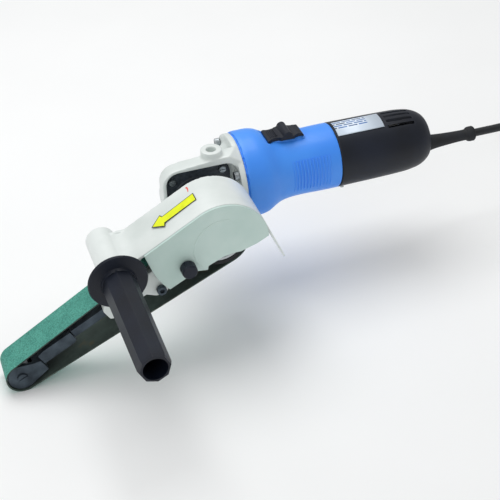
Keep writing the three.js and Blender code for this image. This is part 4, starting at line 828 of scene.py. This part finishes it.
bmesh.ops.inset_region(film, faces=[top_face], thickness=0.0007, use_even_offset=True)
top_face.material_index = 0
film.to_mesh(arrow.data)
film.free()

# Red enamel tick beside the arrow, sprayed through a stencil.
red_ink, tree, shader, place = new_finish("red_stencil_enamel", {"IOR": 1.48, "Roughness": 0.5})
worn = add_node(tree, "ShaderNodeTexNoise", {}, {"Vector": place, "Scale": 700, "Detail": 4})
tone = add_node(tree, "ShaderNodeValToRGB", {"stops": [(0.35, "E0564F"), (0.7, "F08A82")]},
                {"Fac": worn.outputs["Fac"]})
tree.links.new(tone.outputs["Color"], shader.inputs["Base Color"])
tick_line = [(0.2, 20.4), (1.9, 20.6), (2.4, 18.2), (1.9, 15.6), (1.1, 13.2), (0.5, 13.4), (0.9, 15.8),
             (1.0, 18.0)]
count = len(tick_line)
tick_points = [(x, y, math.sqrt(40.3 ** 2 - x * x) + lift) for lift in (0.02, 0.2) for x, y in tick_line]
tick_faces = [tuple(range(count)), tuple(range(2 * count - 1, count - 1, -1))]
tick_faces += [(k, (k + 1) % count, count + (k + 1) % count, count + k) for k in range(count)]
tick = seat(solid("red_tick_mark", tick_points, tick_faces), True)
fit_piece(tick, red_ink, "arm", "yellow_print")

plate_film, tree, shader, place = new_finish("pale_rating_film", {"IOR": 1.48, "Roughness": 0.3})
label_low, label_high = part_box("rating_label")
centred = add_node(tree, "ShaderNodeMapping", {},
                   {"Vector": place, "Location": -(label_low + label_high) / 2})
bars = add_node(tree, "ShaderNodeTexBrick", {"offset": 0.37},
                {"Vector": centred.outputs[0], "Color1": linear("4E7FC4"), "Color2": linear("1F2B3A"),
                 "Mortar": linear("DCE8F4"), "Scale": 55, "Brick Width": 0.55, "Row Height": 0.16,
                 "Mortar Size": 0.045, "Mortar Smooth": 0.2})
axes = add_node(tree, "ShaderNodeSeparateXYZ", {}, {"Vector": centred.outputs[0]})
upper = add_node(tree, "ShaderNodeMath", {"operation": "GREATER_THAN"}, {0: axes.outputs["Y"], 1: -0.0035})
forward = add_node(tree, "ShaderNodeMath", {"operation": "LESS_THAN"}, {0: axes.outputs["X"], 1: 0.009})
printed = add_node(tree, "ShaderNodeMath", {"operation": "MULTIPLY"},
                   {0: upper.outputs[0], 1: forward.outputs[0]})
tone = add_node(tree, "ShaderNodeMix", {"data_type": "RGBA"},
                {0: printed.outputs[0], 6: linear("D5E2F0"), 7: bars.outputs["Color"]})
tree.links.new(tone.outputs[2], shader.inputs["Base Color"])
label = shape_of("rating_label", "rating_plate_film")
label.data.shade_smooth()
fit_piece(label, plate_film, "motor_unit", "label_film", "rating_label")

# ---- electrical pieces -----------------------------------------------------------------
# Inside the barrel: enamelled copper, the commutator, brass brush holders and carbon
# brushes, the fan and the switch body.
copper, tree, shader, place = new_finish("enamelled_copper", {"Metallic": 0.9, "Roughness": 0.35})
wires = add_node(tree, "ShaderNodeTexWave", {"bands_direction": "Y"}, {"Vector": place, "Scale": 500})
tone = add_node(tree, "ShaderNodeValToRGB", {"stops": [(0.2, "7C3D18"), (0.8, "C47A45")]},
                {"Fac": wires.outputs["Fac"]})
tree.links.new(tone.outputs["Color"], shader.inputs["Base Color"])
carbon, tree, shader, place = new_finish("pressed_carbon", {"Roughness": 0.7})
dust = add_node(tree, "ShaderNodeTexNoise", {}, {"Vector": place, "Scale": 1200, "Detail": 3})
tone = add_node(tree, "ShaderNodeValToRGB", {"stops": [(0.3, "1C1D1F"), (0.8, "34363A")]},
                {"Fac": dust.outputs["Fac"]})
tree.links.new(tone.outputs["Color"], shader.inputs["Base Color"])
for node, material in (("field_coil_1", copper), ("field_coil_2", copper), ("commutator", copper),
                       ("brush_holder_1", brass), ("brush_holder_2", brass),
                       ("carbon_brush_1", carbon), ("carbon_brush_2", carbon),
                       ("cooling_fan", nylon), ("switch_body", nylon)):
    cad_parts[node].data.materials.clear()
    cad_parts[node].data.materials.append(material)

# ---- bench and light -------------------------------------------------------------------
# A plain white bench that runs on past the view, and large soft lamps above it.
bench = solid("bench_top", [(-4000, -4000, 0), (4000, -4000, 0), (4000, 4000, 0), (-4000, 4000, 0)],
              [(0, 1, 2, 3)])
bench.data.transform(Matrix.Scale(0.001, 4))
paper, tree, shader, place = new_finish("white_bench_paper", {"Roughness": 0.9, "Specular IOR Level": 0.1})
fibre = add_node(tree, "ShaderNodeTexNoise", {}, {"Vector": place, "Scale": 6, "Detail": 2})
tone = add_node(tree, "ShaderNodeValToRGB", {"stops": [(0.3, "F6F7F7"), (0.7, "F8F9F9")]},
                {"Fac": fibre.outputs["Fac"]})
tree.links.new(tone.outputs["Color"], shader.inputs["Base Color"])
bench.data.materials.append(paper)

world = bpy.data.worlds.new("studio")
world.use_nodes = True
world.node_tree.nodes["Background"].inputs["Color"].default_value = (1, 1, 1, 1)
world.node_tree.nodes["Background"].inputs["Strength"].default_value = 0.5
scene.world = world
scene.view_settings.view_transform = "Standard"
for name, place, size, power in (("overhead", (-0.1, 0.5, 1.5), 1.2, 14),
                                 ("front_left", (-1.2, -1.2, 0.9), 1.0, 6)):
    lamp = bpy.data.lights.new(name, "AREA")
    lamp.size = size
    lamp.energy = power
    holder = bpy.data.objects.new(name, lamp)
    scene.collection.objects.link(holder)
    direction = Vector((0, 0, 0.08)) - Vector(place)
    holder.matrix_world = Matrix.Translation(place) @ direction.to_track_quat("-Z", "Y").to_matrix().to_4x4()
